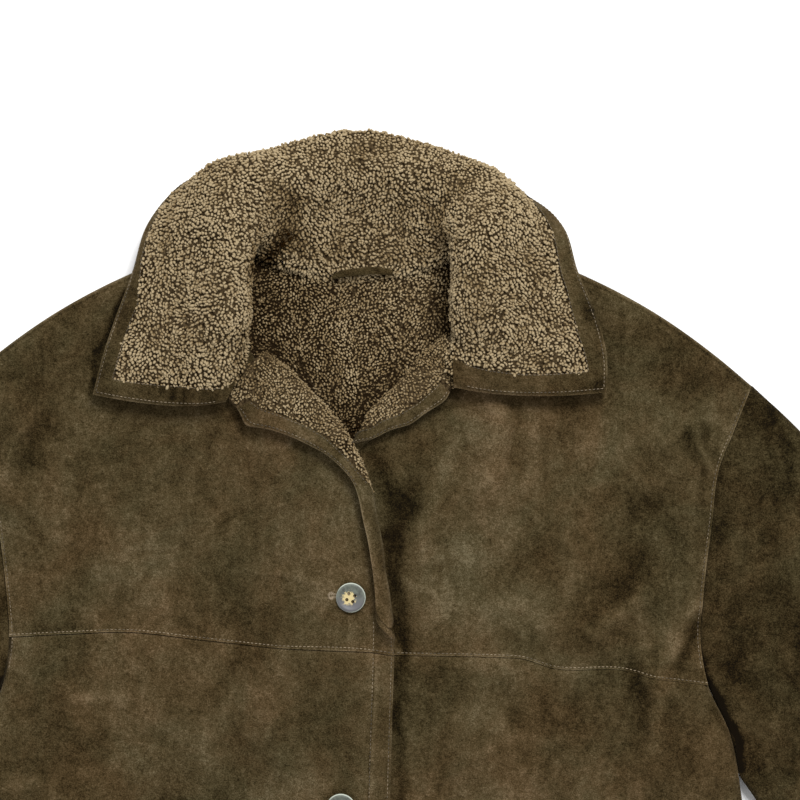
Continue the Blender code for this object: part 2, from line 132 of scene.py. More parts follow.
# Patterns of the nap: combed in one direction or not, scale, detail, roughness, bend, then what
# each adds to the tone and to the relief
HIDE_PATTERNS = (
    (False, 6.5, 3.0, 0.50, 0.7, 0.62, 0.0),
    (False, 24.0, 8.0, 0.68, 0.9, 0.75, 1.5),
    (True, 40.0, 8.0, 0.72, 0.5, 0.60, 1.1),
    (False, 120.0, 5.0, 0.70, 0.3, 0.42, 0.7),
    (False, 330.0, 3.0, 0.75, 0.0, 0.60, 0.6),
    (False, 900.0, 2.0, 0.75, 0.0, 1.05, 0.5),
)


def put(tree, kind, settings=None, **sockets):
    """A shader node with its settings, and its sockets set or linked."""
    node = tree.nodes.new("ShaderNode" + kind)
    for name, value in (settings or {}).items():
        setattr(node, name, value)
    for name, value in sockets.items():
        socket = node.inputs[int(name[1:])] if name[0] == "_" else node.inputs[name.replace("_", " ")]
        if isinstance(value, bpy.types.NodeSocket):
            tree.links.new(value, socket)
        else:
            socket.default_value = value
    return node.outputs[0]


def blotches(tree, place, scale, detail, rough, distortion=0.0):
    """A cloudy pattern of one size."""
    return put(tree, "TexNoise", {"normalize": True}, Vector=place, Scale=scale, Detail=detail,
               Roughness=rough, Distortion=distortion)


def blend(tree, share, first, second, kind="MIX"):
    """Two colours mixed by a share."""
    return put(tree, "MixRGB", {"blend_type": kind}, Fac=share, Color1=first, Color2=second)


def amount(tree, kind, first, second=0.5, third=0.5):
    """A number worked out from one, two or three others."""
    return put(tree, "Math", {"operation": kind}, _0=first, _1=second, _2=third)


def attribute(tree, name):
    """A number that the points of a mesh carry."""
    return put(tree, "Attribute", {"attribute_name": name}).node.outputs["Fac"]


def between(tree, value, start, end, low=0.0, high=1.0):
    """A value's way from a start to an end, as a number from low to high."""
    return put(tree, "MapRange", None, _0=value, _1=start, _2=end, _3=low, _4=high)


def ramp(tree, share, stops):
    """A colour read from a row of stops."""
    node = tree.nodes.new("ShaderNodeValToRGB")
    tree.links.new(share, node.inputs["Fac"])
    elements = node.color_ramp.elements
    while len(elements) < len(stops):
        elements.new(0.5)
    for element, (position, colour) in zip(elements, stops):
        element.position = position
        element.color = (*colour, 1)
    return node.outputs[0]


def fresh(name):
    """A new material with its node tree, its shader and the object's coordinates."""
    material = bpy.data.materials.new(name)
    material.use_nodes = True
    tree = material.node_tree
    place = tree.nodes.new("ShaderNodeTexCoord").outputs["Object"]
    return material, tree, tree.nodes["Principled BSDF"], place


def dress(tree, shader, colour, surface, relief, height):
    """A shader given its colour, the rest of its surface, and a relief of some strength and depth."""
    tree.links.new(colour, shader.inputs["Base Color"])
    for name, value in surface.items():
        shader.inputs[name].default_value = value
    strength, depth = relief
    bump = put(tree, "Bump", None, Strength=strength, Distance=depth, Height=height)
    tree.links.new(bump, shader.inputs["Normal"])


def hide_finish(name, shift):
    """Napped hide, lighter or darker by a shift in tone."""
    material, tree, shader, place = fresh(name)
    combed = put(tree, "Mapping", Vector=place, Scale=COMB_STRETCH, Rotation=COMB_TURN)
    level = attribute(tree, "tone")
    height = 0.0
    evened = 0.0
    for is_combed, scale, detail, rough, bend, share, rise in HIDE_PATTERNS:
        pattern = blotches(tree, combed if is_combed else place, scale, detail, rough, bend)
        level = amount(tree, "MULTIPLY_ADD", pattern, share, level)
        height = amount(tree, "MULTIPLY_ADD", pattern, rise, height)
        evened += share / 2
    level = amount(tree, "ADD", level, MIDDLE_TONE + shift - evened)
    warmth = between(tree, blotches(tree, place, *WARMTH_PATTERN), *WARMTH_RANGE)
    tint = blend(tree, warmth, HIDE_COOL, HIDE_WARM)
    colour = blend(tree, 1.0, ramp(tree, level, HIDE_TONES), tint, "MULTIPLY")
    dress(tree, shader, colour, HIDE_SURFACE, HIDE_RELIEF, height)
    return material


hide = hide_finish("hide", -0.02)
sleeve_hide = hide_finish("sleeve_hide", -0.20)

# The fleece side of the skin: clipped lambskin wool, dark at the roots. Under the curls it shows
# only as a dark, bristly ground.
WOOL_GROUND = ((0.25, (0.010, 0.005, 0.001)), (0.75, (0.078, 0.053, 0.025)))
GROUND_CURLS = 420.0
GROUND_FIBRES = (900.0, 3.0, 0.7)
CURL_SHARE = -0.7
FIBRE_SHARE = 0.3
GROUND_TONE = 0.85
GROUND_SHIFT = 0.15
GROUND_SURFACE = {"Roughness": 1.0, "Specular IOR Level": 0.1}
GROUND_RELIEF = (0.8, 0.0015)


def ground_finish():
    """Wool seen between the curls."""
    material, tree, shader, place = fresh("wool_ground")
    curls = put(tree, "TexVoronoi", None, Vector=place, Scale=GROUND_CURLS)
    level = amount(tree, "MULTIPLY_ADD", curls, CURL_SHARE, GROUND_TONE)
    level = amount(tree, "MULTIPLY_ADD", blotches(tree, place, *GROUND_FIBRES), FIBRE_SHARE, level)
    level = amount(tree, "SUBTRACT", level, GROUND_SHIFT)
    level = amount(tree, "ADD", level, attribute(tree, "tone"))
    dress(tree, shader, ramp(tree, level, WOOL_GROUND), GROUND_SURFACE, GROUND_RELIEF, level)
    return material


wool_ground = ground_finish()

# The back is one skin from hem to neck, and the coat rests on it. Its suede lies on the surface and
# its fleece faces up, where the open neck shows it. The side, armhole and shoulder seams join it
# to the fronts and sleeves.
WALL = 8.0
GAP = 0.3
SEAM_GAP = 0.35
STEP = 4.2
SEAM_POINTS = 60
LINE_POINTS = 160
SHARP_ANGLE = 55
BACK_WIDTH = 680
BACK_LENGTH = 850
BACK_STEP = 10.0
BACK_RUB = 0.1

# Rings of points along a rounded edge and beside a row of stitches, and how far the suede falls
# towards each kind of edge
RIM = (0.0, 0.5, 1.3, 2.6, 4.5, 7.0)
SEWN_RINGS = (-1.6, -0.8, 0, 0.8, 1.6)
SEWN_CLEAR = 2.4
RIM_CURVE = 2.2
RIM_DROPS = {"fold": 5.0, "open": 2.6, "tucked": 1.7, "lapped": -0.7}

# Seams of one side, the back's neck and its hem
SHOULDER = ((100, 415), (184, 386), (252, 351), (308, 311), (334, 289))
ARMHOLE = ((297, 38), (291, 70), (293, 112), (300, 172), (306, 219), (318, 249), (334, 289))
SIDE = ((345, -498), (337, -300), (326, -59), (316, -4), (297, 38))
BACK_NECK = ((-100, 415), (-58, 392), (0, 385), (58, 392), (100, 415))
HEM = ((-345, -498), (-170, -503), (0, -504), (170, -503), (345, -498))


def curve(points, count=SEAM_POINTS):
    """Evenly spaced places on the smooth line through a seam's points."""
    points = np.array(points, float)
    knots = np.concatenate(([0], np.cumsum(np.linalg.norm(np.diff(points, axis=0), axis=1))))
    slopes = np.gradient(points, knots, axis=0)
    slopes /= np.linalg.norm(slopes, axis=1, keepdims=True)
    along = np.linspace(0, knots[-1], count)
    first = np.clip(np.searchsorted(knots, along, side="right") - 1, 0, len(knots) - 2)
    span = (knots[first + 1] - knots[first])[:, None]
    t = (along - knots[first])[:, None] / span
    start = (1 + 2 * t) * (1 - t) ** 2 * points[first] + t * (1 - t) ** 2 * span * slopes[first]
    end = t * t * (3 - 2 * t) * points[first + 1] + t * t * (t - 1) * span * slopes[first + 1]
    return start + end


def end_to_end(*runs):
    """Runs of a panel's edge after each other, with a corner where two of them meet."""
    return np.concatenate([runs[0]] + [run[1:] for run in runs[1:]])


def length_of(line):
    """How far along a line each of its places lies."""
    return np.concatenate(([0], np.cumsum(np.linalg.norm(np.diff(line, axis=0), axis=1))))


def spread(line, shares):
    """Places on a line at shares of its length."""
    knots = length_of(line)
    along = np.array(shares) * knots[-1]
    return np.stack([np.interp(along, knots, line[:, axis]) for axis in range(line.shape[1])], axis=1)


def rings(length, step=STEP, open_end=False, lines=()):
    """Shares of a panel's length, close together at its rounded edges and beside sewn lines."""
    last = length if open_end else length - RIM[-1]
    inner = list(np.linspace(RIM[-1], last, max(int((last - RIM[-1]) / step), 2) + 1))
    for line in lines:
        inner = [place for place in inner if abs(place - line) > SEWN_CLEAR]
        inner += [line + offset for offset in SEWN_RINGS]
    end = [] if open_end else [length - inset for inset in RIM[-2::-1]]
    return np.array(list(RIM[:-1]) + sorted(inner) + end) / length


def patch(bottom, top, left, right, us, vs):
    """The flat panel inside four edges: a grid of rows from bottom to top."""
    u = us[None, :, None]
    v = vs[:, None, None]
    ends = (1 - v) * spread(bottom, us)[None] + v * spread(top, us)[None]
    sides = (1 - u) * spread(left, vs)[:, None] + u * spread(right, vs)[:, None]
    corners = (1 - v) * ((1 - u) * bottom[0] + u * bottom[-1]) + v * ((1 - u) * top[0] + u * top[-1])
    return ends + sides - corners


def rim_drop(us, vs, width, length, kinds):
    """How far the suede falls towards each edge, by the kind of edge."""
    def fall(inset, kind):
        depth = RIM_DROPS.get(kind, 0.0)
        return depth * np.clip(1 - inset / RIM[-1], 0, 1) ** RIM_CURVE

    left, right, bottom, top = kinds
    across = np.maximum(fall(us * width, left), fall((1 - us) * width, right))
    along = np.maximum(fall(vs * length, bottom), fall((1 - vs) * length, top))
    return np.maximum(across[None, :], along[:, None])


# A crease is a row of numbers: where it runs from and to, half its width, its height and its change
# of tone. Slow and quick waves keep it from running straight.
HEIGHT = 5
TONE = 6
SLOW_WAVE = 2.6
QUICK_WAVE = 1.5
WAVES_X = (17, 61, 6.1)
WAVES_Y = (19, -53, 6.7)


def waved(along, across, waves):
    """One coordinate of some places, pushed to and fro by the slow and quick waves."""
    slow, skew, quick = waves
    return along + SLOW_WAVE * np.sin(across / slow + along / skew) + QUICK_WAVE * np.sin(across / quick)


def bumps(x, y, rows, column):
    """The sum of soft ridges or troughs, each along a line and faded across its half width."""
    total = np.zeros_like(x)
    wave_x = waved(x, y, WAVES_X)
    wave_y = waved(y, x, WAVES_Y)
    for row in rows:
        x0, y0, x1, y1, half_width = row[:HEIGHT]
        share = ((wave_x - x0) * (x1 - x0) + (wave_y - y0) * (y1 - y0)) / ((x1 - x0) ** 2 + (y1 - y0) ** 2)
        share = np.clip(share, 0, 1)
        away = np.hypot(wave_x - x0 - share * (x1 - x0), wave_y - y0 - share * (y1 - y0))
        total += row[column] * np.exp(-(away / half_width) ** 2)
    return total


def wall(name, outside, inside, tone, finishes, kept=None, wool_tone=None):
    """A closed wall of skin between two grids of points, suede outside and fleece inside."""
    rows, columns = outside.shape[0] - 1, outside.shape[1] - 1
    bm = bmesh.new()
    bmesh.ops.create_grid(bm, x_segments=columns, y_segments=rows, size=1)
    if kept is not None:
        dropped = []
        for face in bm.faces:
            centre = face.calc_center_median()
            if not kept[int((centre.y + 1) / 2 * rows), int((centre.x + 1) / 2 * columns)]:
                dropped.append(face)
        bmesh.ops.delete(bm, geom=dropped, context="FACES")
    shade = bm.verts.layers.float.new("tone")
    suede_side = bm.verts[:]
    made = bmesh.ops.extrude_face_region(bm, geom=bm.faces[:])["geom"]
    wool_side = [item for item in made if isinstance(item, bmesh.types.BMVert)]
    if wool_tone is None:
        wool_tone = tone
    for verts, places, tones in ((suede_side, outside, tone), (wool_side, inside, wool_tone)):
        for vert in verts:
            column = round((vert.co.x + 1) / 2 * columns)
            row = round((vert.co.y + 1) / 2 * rows)
            vert.co = places[row, column].tolist()
            vert[shade] = tones[row, column]
    bmesh.ops.scale(bm, verts=bm.verts, vec=(MM, MM, MM))
    wool_side = set(wool_side)
    for face in bm.faces:
        face.smooth = True
        face.material_index = int(all(vert in wool_side for vert in face.verts))
    bmesh.ops.recalc_face_normals(bm, faces=bm.faces)
    mesh = bpy.data.meshes.new(name + "_skin")
    bm.to_mesh(mesh)
    bm.free()
    mesh.set_sharp_from_angle(angle=math.radians(SHARP_ANGLE))
    for finish in finishes:
        mesh.materials.append(finish)
    piece = bpy.data.objects.new(name + "_skin", mesh)
    bpy.context.scene.collection.objects.link(piece)
    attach(piece, "root")
    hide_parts(name)
    return piece


def with_height(plan, height):
    """Flat places with their height added."""
    return np.concatenate([plan, height[..., None]], axis=2)


def mirrored(points):
    """The same line on the wearer's right."""
    return np.array(points, float) * (-1, 1)


# Rubbing is strongest right at an edge and fades in a wide soft band. It comes and goes along the
# edge by long waves.
RUB_EDGE = 1.3
RUB_BAND = 9
RUB_LEAST = 0.25
RUB_BAND_SHARE = 0.2
RUB_ACROSS = (13, 1.7, 19)
RUB_ALONG = (11, 2.1, 17)


def skin_tone(plan, width, length, us, vs, rubbed):
    """Tone of the suede over a panel: rubbed pale along the edges, unevenly."""
    def long_wave(first, second, waves):
        wave, bend, bend_wave = waves
        return np.sin(first / wave + bend * np.sin(second / bend_wave))

    x, y = plan[..., 0], plan[..., 1]
    near = np.minimum(np.minimum(us, 1 - us)[None, :] * width, np.minimum(vs, 1 - vs)[:, None] * length)
    uneven = 0.5 + 0.5 * long_wave(x, y, RUB_ACROSS) * long_wave(y, x, RUB_ALONG)
    edge = np.exp(-(near / RUB_EDGE) ** 2) * (RUB_LEAST + uneven)
    band = RUB_BAND_SHARE * np.exp(-(near / RUB_BAND) ** 2) * uneven
    return rubbed * (edge + band)


# A row of stitches pulls a dark groove into the skin, with a pale ridge beside it
GROOVE_WIDTH = 0.9
GROOVE_DEPTH = 0.55
GROOVE_DARK = 0.16
RIDGE_ASIDE = 1.6
RIDGE_WIDTH = 0.8
RIDGE_PALE = 0.13
PUCKER_WIDTH = 5
PUCKER_SHARE = 0.5


def sewn_line(inset, place):
    """Depth and tone of the groove that a row of stitches pulls into the skin."""
    groove = np.exp(-((inset - place) / GROOVE_WIDTH) ** 2)
    ridge = np.exp(-((inset - place + RIDGE_ASIDE) / RIDGE_WIDTH) ** 2)
    pucker = PUCKER_SHARE * np.exp(-((inset - place) / PUCKER_WIDTH) ** 2)
    return GROOVE_DEPTH * groove, RIDGE_PALE * (ridge + pucker) - GROOVE_DARK * groove


body_side = curve(SIDE + ARMHOLE[1:], LINE_POINTS)
armhole_start = int(np.argmin(np.linalg.norm(body_side - np.array(SIDE[-1]), axis=1)))
side_seam = body_side[:armhole_start + 1]
armhole_seam = body_side[armhole_start:]
shoulder_seam = curve(SHOULDER)

# Painted shade deep inside the neck: centre, reach across and along, depth
NECK_PAINTED_SHADE = (
    (-46, 372, 26, 22, 0.24),
    (-86, 366, 22, 52, 0.46),
    (82, 360, 13, 56, 0.36),
    (0, 247, 34, 26, 0.60),
    (-50, 300, 30, 40, 0.16),
    (30, 290, 30, 30, 0.12),
    (-27, 335, 5, 30, 0.14),
    (0, 330, 100, 80, 0.19),
)
NECK_DARKEST = 0.68


def neck_shade(x, y):
    """How much darker the wool is painted at each place deep inside the neck, as shade."""
    shade = np.zeros_like(x)
    for middle_x, middle_y, wide, high, depth in NECK_PAINTED_SHADE:
        shade += depth * np.exp(-((x - middle_x) / wide) ** 2 - ((y - middle_y) / high) ** 2)
    return np.minimum(shade, NECK_DARKEST)


back_us = rings(BACK_WIDTH, BACK_STEP)
back_vs = rings(BACK_LENGTH, BACK_STEP)
back_top = end_to_end(mirrored(shoulder_seam)[::-1], curve(BACK_NECK), shoulder_seam)
back_plan = patch(curve(HEM), back_top, mirrored(body_side), body_side, back_us, back_vs)
back_drop = rim_drop(back_us, back_vs, BACK_WIDTH, BACK_LENGTH, ("fold", "fold", "open", "fold"))
# The fleece side of the back carries the painted shade of the neck
back = wall("back", with_height(back_plan, back_drop),
            with_height(back_plan, np.full(back_drop.shape, WALL)),
            skin_tone(back_plan, BACK_WIDTH, BACK_LENGTH, back_us, back_vs, BACK_RUB), (hide, wool_ground),
            wool_tone=-neck_shade(back_plan[..., 0], back_plan[..., 1]))

# The sleeves lie out to each side, pressed flat: a back half on the surface and a front half on it,
# with an overarm seam down the upper fold and the cuff's edge turned in.
SLEEVE_WIDTH = 190
SLEEVE_LENGTH = 560
SLEEVE_BACK_STEP = 9.0
SLEEVE_RUB = 0.06
SLEEVE_EDGES = ("fold", "fold", "tucked", "open")
SLEEVE_OUTER = ((334.6, 289), (374, 252), (440, 170), (500, 60), (540, -80), (568, -234))
CUFF = ((428, -290), (500, -266), (568, -234))
FRONT_LOW = WALL + GAP

# Under the arm the sleeve lies against the body's side seam, then leaves it
BESIDE_BODY = (38, 18, -2, -20, -34)
beside_body = [side_seam[np.argmin(np.abs(side_seam[:, 1] - level))] + (GAP, 0) for level in BESIDE_BODY]
SLEEVE_INNER = (*beside_body, (337.5, -59), (372, -150), (402, -222), (428, -290))

# Broad folds that lift the front half off the back half, then its creases, with painted shade in
# their troughs and painted light on their ridges
SLEEVE_FOLDS = (
    (380, 150, 372, 20, 30, 7),
    (470, 20, 452, -60, 28, 5),
    (402, -60, 500, -96, 22, 5),
    (432, -170, 520, -190, 24, 5),
)
SLEEVE_CREASES = (
    (343, 268, 352, 190, 9, -1.4, -0.04),
    (350, 264, 374, 250, 24, 0, -0.11),
    (351.6, 277, 353.4, 226, 2.6, -1.0, -0.14),
    (353.4, 226, 350, 192, 3.2, -0.7, -0.08),
    (357, 277, 359, 190, 6, 1.2, 0.05),
    (362, 232, 366, 196, 6, -1.2, -0.12),
    (366, 243, 361, 196, 7, -1.2, -0.06),
    (310, 60, 352, 22, 8, -2.2, -0.08),
    # Painted shadow in the crack where the sleeve meets the body's side
    (296, 60, 300, 42, 3.6, -0.8, -0.30),
    (300, 42, 306, 24, 3.0, -1.2, -0.60),
    (306.5, 24, 316, -1.5, 3.2, -1.2, -0.75),
    (316, -1.5, 320, -18.5, 2.7, -1.2, -0.75),
    (320, -18.5, 325.5, -38, 2.3, -1.0, -0.75),
    (318, 20, 372, -12, 7, 1.6, 0.03),
    (322, -16, 366, -62, 9, -2.4, -0.08),
    (340, -60, 420, -92, 7, -1.8, -0.05),
    (356, 120, 342, 60, 12, 1.8, 0.03),
    (420, 110, 404, 40, 11, -2.0, -0.04),
    (470, 60, 436, 10, 9, 1.6, 0.04),
    (396, -120, 470, -150, 9, -2.2, -0.05),
    (500, -20, 460, -60, 8, -1.5, -0.04),
    (420, -200, 500, -224, 8, 1.5, 0.03),
)


def sleeve_grid(step):
    """One half of a sleeve laid flat: its places, the fall at its edges, and its tone."""
    us, vs = rings(SLEEVE_WIDTH, step), rings(SLEEVE_LENGTH, step)
    inner = curve(SLEEVE_INNER, LINE_POINTS)
    plan = patch(armhole_seam + (SEAM_GAP, 0), curve(CUFF), inner, curve(SLEEVE_OUTER), us, vs)
    return (plan, rim_drop(us, vs, SLEEVE_WIDTH, SLEEVE_LENGTH, SLEEVE_EDGES),
            skin_tone(plan, SLEEVE_WIDTH, SLEEVE_LENGTH, us, vs, SLEEVE_RUB))


sleeve_fronts = []
for side, sign in (("under", 1), ("over", -1)):
    plan, drop, tone = sleeve_grid(STEP)
    x, y = plan[..., 0], plan[..., 1]
    low = FRONT_LOW + bumps(x, y, SLEEVE_FOLDS, HEIGHT)
    high = low + WALL - drop + bumps(x, y, SLEEVE_CREASES, HEIGHT)
    tone = tone + bumps(x, y, SLEEVE_CREASES, TONE)
    plan = plan * (sign, 1)
    front_half = wall(f"sleeve_{side}_front", with_height(plan, high), with_height(plan, low), tone,
                      (sleeve_hide, wool_ground))
    plan, drop, tone = sleeve_grid(SLEEVE_BACK_STEP)
    plan = plan * (sign, 1)
    back_half = wall(f"sleeve_{side}_back", with_height(plan, drop),
                     with_height(plan, np.full(drop.shape, WALL)), tone, (sleeve_hide, wool_ground))
    sleeve_fronts.append(front_half)

# The fronts below the yoke seam. The over front climbs on to the under front and laps over it at
# the middle, where both edges are turned in and stitched.
FRONT_WIDTH = 340
FRONT_LENGTH = 570
FRONT_STEP = 4.8
FRONT_RUB = 0.20
FRONT_EDGES = ("fold", "open", "open", "tucked")
BAND_WIDTH = 17.6
HEM_WIDTH = 20.0
LAP_RISE = WALL + GAP
LAP_START = -105.0
LAP_FULL = -55.0
UNDER_FLAT_END = 45.0
UNDER_FOLDS_FULL = 85.0
YOKE_OVER = ((-291.4, 78), (-239, 80.6), (-189, 82), (-130, 75.6), (-71, 69.7), (14, 65.8))
YOKE_UNDER = ((297, 37.4), (272, 40.7), (251, 43.4), (236, 47.5), (222, 50.6), (205, 51), (186, 50.4),
              (165, 52), (153, 56), (142, 59.4), (126, 60.7), (97, 61.6), (36, 62.6), (-11, 63))
EDGE_OVER = ((26, -504), (28, -280), (29.4, -59), (33, 63 - SEAM_GAP))
EDGE_UNDER = ((-33, -504), (-32, -280), (-31, -59), (-30, 62.8 - SEAM_GAP))

# The over front's side seam ends a little way up its armhole
OVER_ARM_END = ((-297, 38), (-291, 70), (-291.4, 77.4))

# Broad folds that lift each front off the back
FRONT_FOLDS = {
    "over": (
        (-150, 238, -148, 190, 30, 3),
        (-282, 262, -296, 200, 24, 6),
        (-300, -60, -230, -66, 26, 5),
        (-180, -180, -160, -420, 38, 5),
        (-98, -150, -112, -330, 34, 4),
    ),
    "under": (
        (120, 268, 118, 205, 24, 5),
        (236, 118, 200, 74, 26, 6),
        (272, 240, 282, 190, 22, 5),
        (262, 40, 258, -30, 28, 5),
        (180, -120, 200, -400, 38, 6),
        (100, -20, 92, -240, 30, 4),
    ),
}

# Creases of the fronts: ridges and troughs first, with painted light on the ridges and painted shade
# in the troughs, then wide places of painted light and shade with no height
FRONT_CREASES = {
    "over": (
        # Painted shadow beside the outer edge of the collar's leaf
        (-220.5, 284, -217.5, 303, 2.4, 0, -0.30),
        (-217.5, 303, -214.5, 320, 2.4, 0, -0.30),
        (-214.5, 320, -204.5, 351, 2.4, 0, -0.30),
        (-204.5, 351, -196, 370, 2.4, 0, -0.30),
        (-151, 240, -150, 210, 7, -1.4, -0.05),
        (-274, 268, -282, 252, 5, 1.2, 0.06),
        (-282, 252, -291, 226, 5, 1.3, 0.07),
        (-291, 226, -297, 200, 5, 1.2, 0.05),
        (-262, 270, -276, 214, 9, -1.8, -0.05),
        (-205, 375, -224, 338, 8, 1.4, 0.04),
        (-96, 131, -62, 134, 3.0, 0.9, 0.09),
        (-62, 134, -30, 126, 3.0, 0.8, 0.08),
        (-50, 150, -14, 118, 20, 1.6, 0.07),
        (-36, 190, -12, 120, 18, 1.2, 0.04),
        (-298, -50, -273, -46, 4, 1.3, 0.10),
        (-273, -46, -239, -59, 4, 1.2, 0.09),
        (-290, -72, -240, -80, 9, -1.6, -0.06),
        (-255, 35, -228, 24, 6, 0.9, 0.10),
        (-228, 27, -186, 31, 5, 0.7, 0.08),
        (-244, 188, -243, 181, 1.2, 0.3, 0.16),
        (-236, 150, -204, 96, 16, -1.3, -0.05),
        (-120, 196, -64, 168, 15, -0.9, -0.04),
        (-200, 130, -150, 104, 14, 0.9, 0.04),
        (-110, -10, -60, -54, 13, -1.1, -0.05),
        (-170, 20, -120, -22, 15, 1.0, 0.03),
        (-180, -120, -150, -260, 12, -2.2, -0.05),
        (-240, -180, -226, -330, 14, 2.0, 0.03),
        (-76, -200, -88, -360, 10, -1.8, -0.04),
        (-290, -240, -280, -400, 10, -2.0, -0.04),
        (-140, -330, -150, -460, 12, 1.8, 0.04),
        (-130, 97, -126, 25, 36, 0, -0.09),
        (-252, 76, -260, 25, 28, 0, -0.09),
        (-248, 160, -223, 159, 26, 0, -0.06),
        (-281, 294, -248, 294, 26, 0, -0.08),
        (-282, 262, -276, 258, 22, 0, -0.07),
        (-248, 330, -240, 320, 22, 0, -0.09),
        (-181, -2, -180, -14, 26, 0, 0.07),
        (-74, -50, -44, -52, 30, 0, 0.08),
        (-147, 227, -130, 260, 28, 0, 0.06),
    ),
    "under": (
        # Painted shadow in the crack at the arm, then beside the over front's edge
        (298, 26, 320, -28, 3.5, -0.6, -0.12),
        (37.5, 84, 35.5, -200, 5, -0.7, -0.24),
        (38.5, 86, 33, 190, 7.5, 0, -0.22),
        (32, 190, 20, 234, 10, 0, -0.20),
        (56, 204, 42, 186, 8, -3.0, -0.15),
        (42, 186, 29, 160, 8, -3.6, -0.17),
        (30, 160, 34, 112, 6, -2.2, -0.14),
        (36, 112, 36, 78, 5, -1.4, -0.10),
        (64, 196, 50, 160, 9, 1.4, 0.04),
        (134, 281, 133.6, 227, 6, -1.8, -0.08),
        (133.6, 227, 132.7, 178, 7, -1.4, -0.05),
        (118, 272, 118, 214, 9, 1.4, 0.09),
        (150, 262, 150, 210, 9, 0.8, 0.02),
        (270, 198, 243, 182, 10, -2.4, -0.08),
        (243, 182, 222, 150, 12, -1.2, -0.05),
        (246, 138, 212, 112, 16, -2.6, -0.12),
        (236, 113, 206, 80, 7, 1.6, 0.11),
        (294, 252, 299, 227, 4.5, -1.8, -0.08),
        (280, 244, 291, 210, 5, -2.0, -0.08),
        (291, 210, 290, 180, 5, -1.8, -0.06),
        (289, 250, 295, 214, 4, 1.3, 0.08),
        (290, 94, 276, 55, 5.5, -2.8, -0.15),
        (282, 102, 266, 58, 5.5, 1.4, 0.10),
        (237, 49, 237, -12, 8, -2.2, -0.11),
        (239, 47, 236, 12, 3.4, 0, -0.10),
        (252, 40, 250, -20, 8, 1.4, 0.05),
        (123.5, 27, 138.6, 6, 7, -1.6, -0.07),
        (52, 141.6, 76, 146.7, 2.2, 0.7, 0.10),
        (70, 110, 150, 96, 18, 0.9, 0.05),
        (150, 150, 96, 120, 16, -1.0, -0.05),
        (104, 52, 150, 44, 9, 0.8, 0.05),
        (186, 150, 168, 86, 12, 1.0, 0.04),
        (196, 300, 176, 240, 14, -1.2, -0.04),
        (302, -10, 290, -60, 9, 1.7, 0.05),
        (60, 40, 70, -50, 12, -0.9, -0.04),
        (180, -90, 196, -250, 12, -2.4, -0.05),
        (240, -150, 254, -330, 12, 2.0, 0.03),
        (92, -140, 80, -320, 10, -1.8, -0.04),
        (150, -300, 166, -450, 12, 2.0, 0.03),
        (290, -230, 286, -420, 10, -2.0, -0.04),
        (122, 262, 122, 175, 34, 0, 0.13),
        (189, 193, 223, 160, 30, 0, 0.10),
        (155, 265, 197, 265, 26, 0, 0.06),
        (197, 336, 281, 319, 24, 0, -0.09),
        (210, 312, 216, 300, 24, 0, -0.05),
        (290, 290, 320, 296, 22, 0, -0.11),
        (189, 112, 190, 100, 28, 0, -0.07),
        (71, 92, 122, 92, 26, 0, 0.08),
        (96, 58, 189, 54, 18, 0, 0.06),
        (183, 62, 192, 52, 16, 0, 0.08),
        (165, -8, 160, -22, 26, 0, -0.06),
        (120, -6, 124, -75, 34, 0, 0.10),
        (248, 25, 273, 24, 32, 0, -0.12),
        (223, -10, 281, -42, 32, 0, -0.08),
    ),
}
CREASE_DEPTH = 1.5
CREASE_LIGHT_AND_SHADE = 1.5
DEEPEST = 5.0
DARKEST_PAINTED_SHADE = -0.34
CLEAR_FROM = 22
CLEAR_REACH = 14

# Places of the buttons, and the soft painted shade round each
BUTTONS = ((-3.4, 111.6), (-11.8, -65.1), (-14, -242), (-15, -418))
BUTTON_RADIUS = 12.8
BUTTON_SHADE = 0.16
BUTTON_SHADE_REACH = 2.4


def ease(value):
    """Smooth step from 0 to 1."""
    value = np.clip(value, 0, 1)
    return value * value * (3 - 2 * value)


def over_lift(x, y):
    """Underside of the over front, which climbs on to the under front."""
    lap = LAP_RISE * ease((x - LAP_START) / (LAP_FULL - LAP_START))
    return FRONT_LOW + lap + bumps(x, y, FRONT_FOLDS["over"], HEIGHT)


def under_lift(x, y):
    """Underside of the under front, flat where the over front lies on it."""
    clear = ease((x - UNDER_FLAT_END) / (UNDER_FOLDS_FULL - UNDER_FLAT_END))
    return FRONT_LOW + clear * bumps(x, y, FRONT_FOLDS["under"], HEIGHT)


def creases(side, x, y):
    """Height of a front's creases and their painted light and shade, with painted shade round the buttons,
    and no height where the other front lies on it.
    """
    clear = 1.0 if side == "over" else ease((x - CLEAR_FROM) / CLEAR_REACH)
    height = CREASE_DEPTH * bumps(x, y, FRONT_CREASES[side], HEIGHT)
    tone = CREASE_LIGHT_AND_SHADE * bumps(x, y, FRONT_CREASES[side], TONE)
    if side == "over":
        for button_x, button_y in BUTTONS:
            away = np.hypot(x - button_x, y - button_y) - BUTTON_RADIUS
            tone -= BUTTON_SHADE * np.exp(-(away / BUTTON_SHADE_REACH) ** 2)
    return clear * DEEPEST * np.tanh(height / DEEPEST), np.maximum(tone, DARKEST_PAINTED_SHADE)


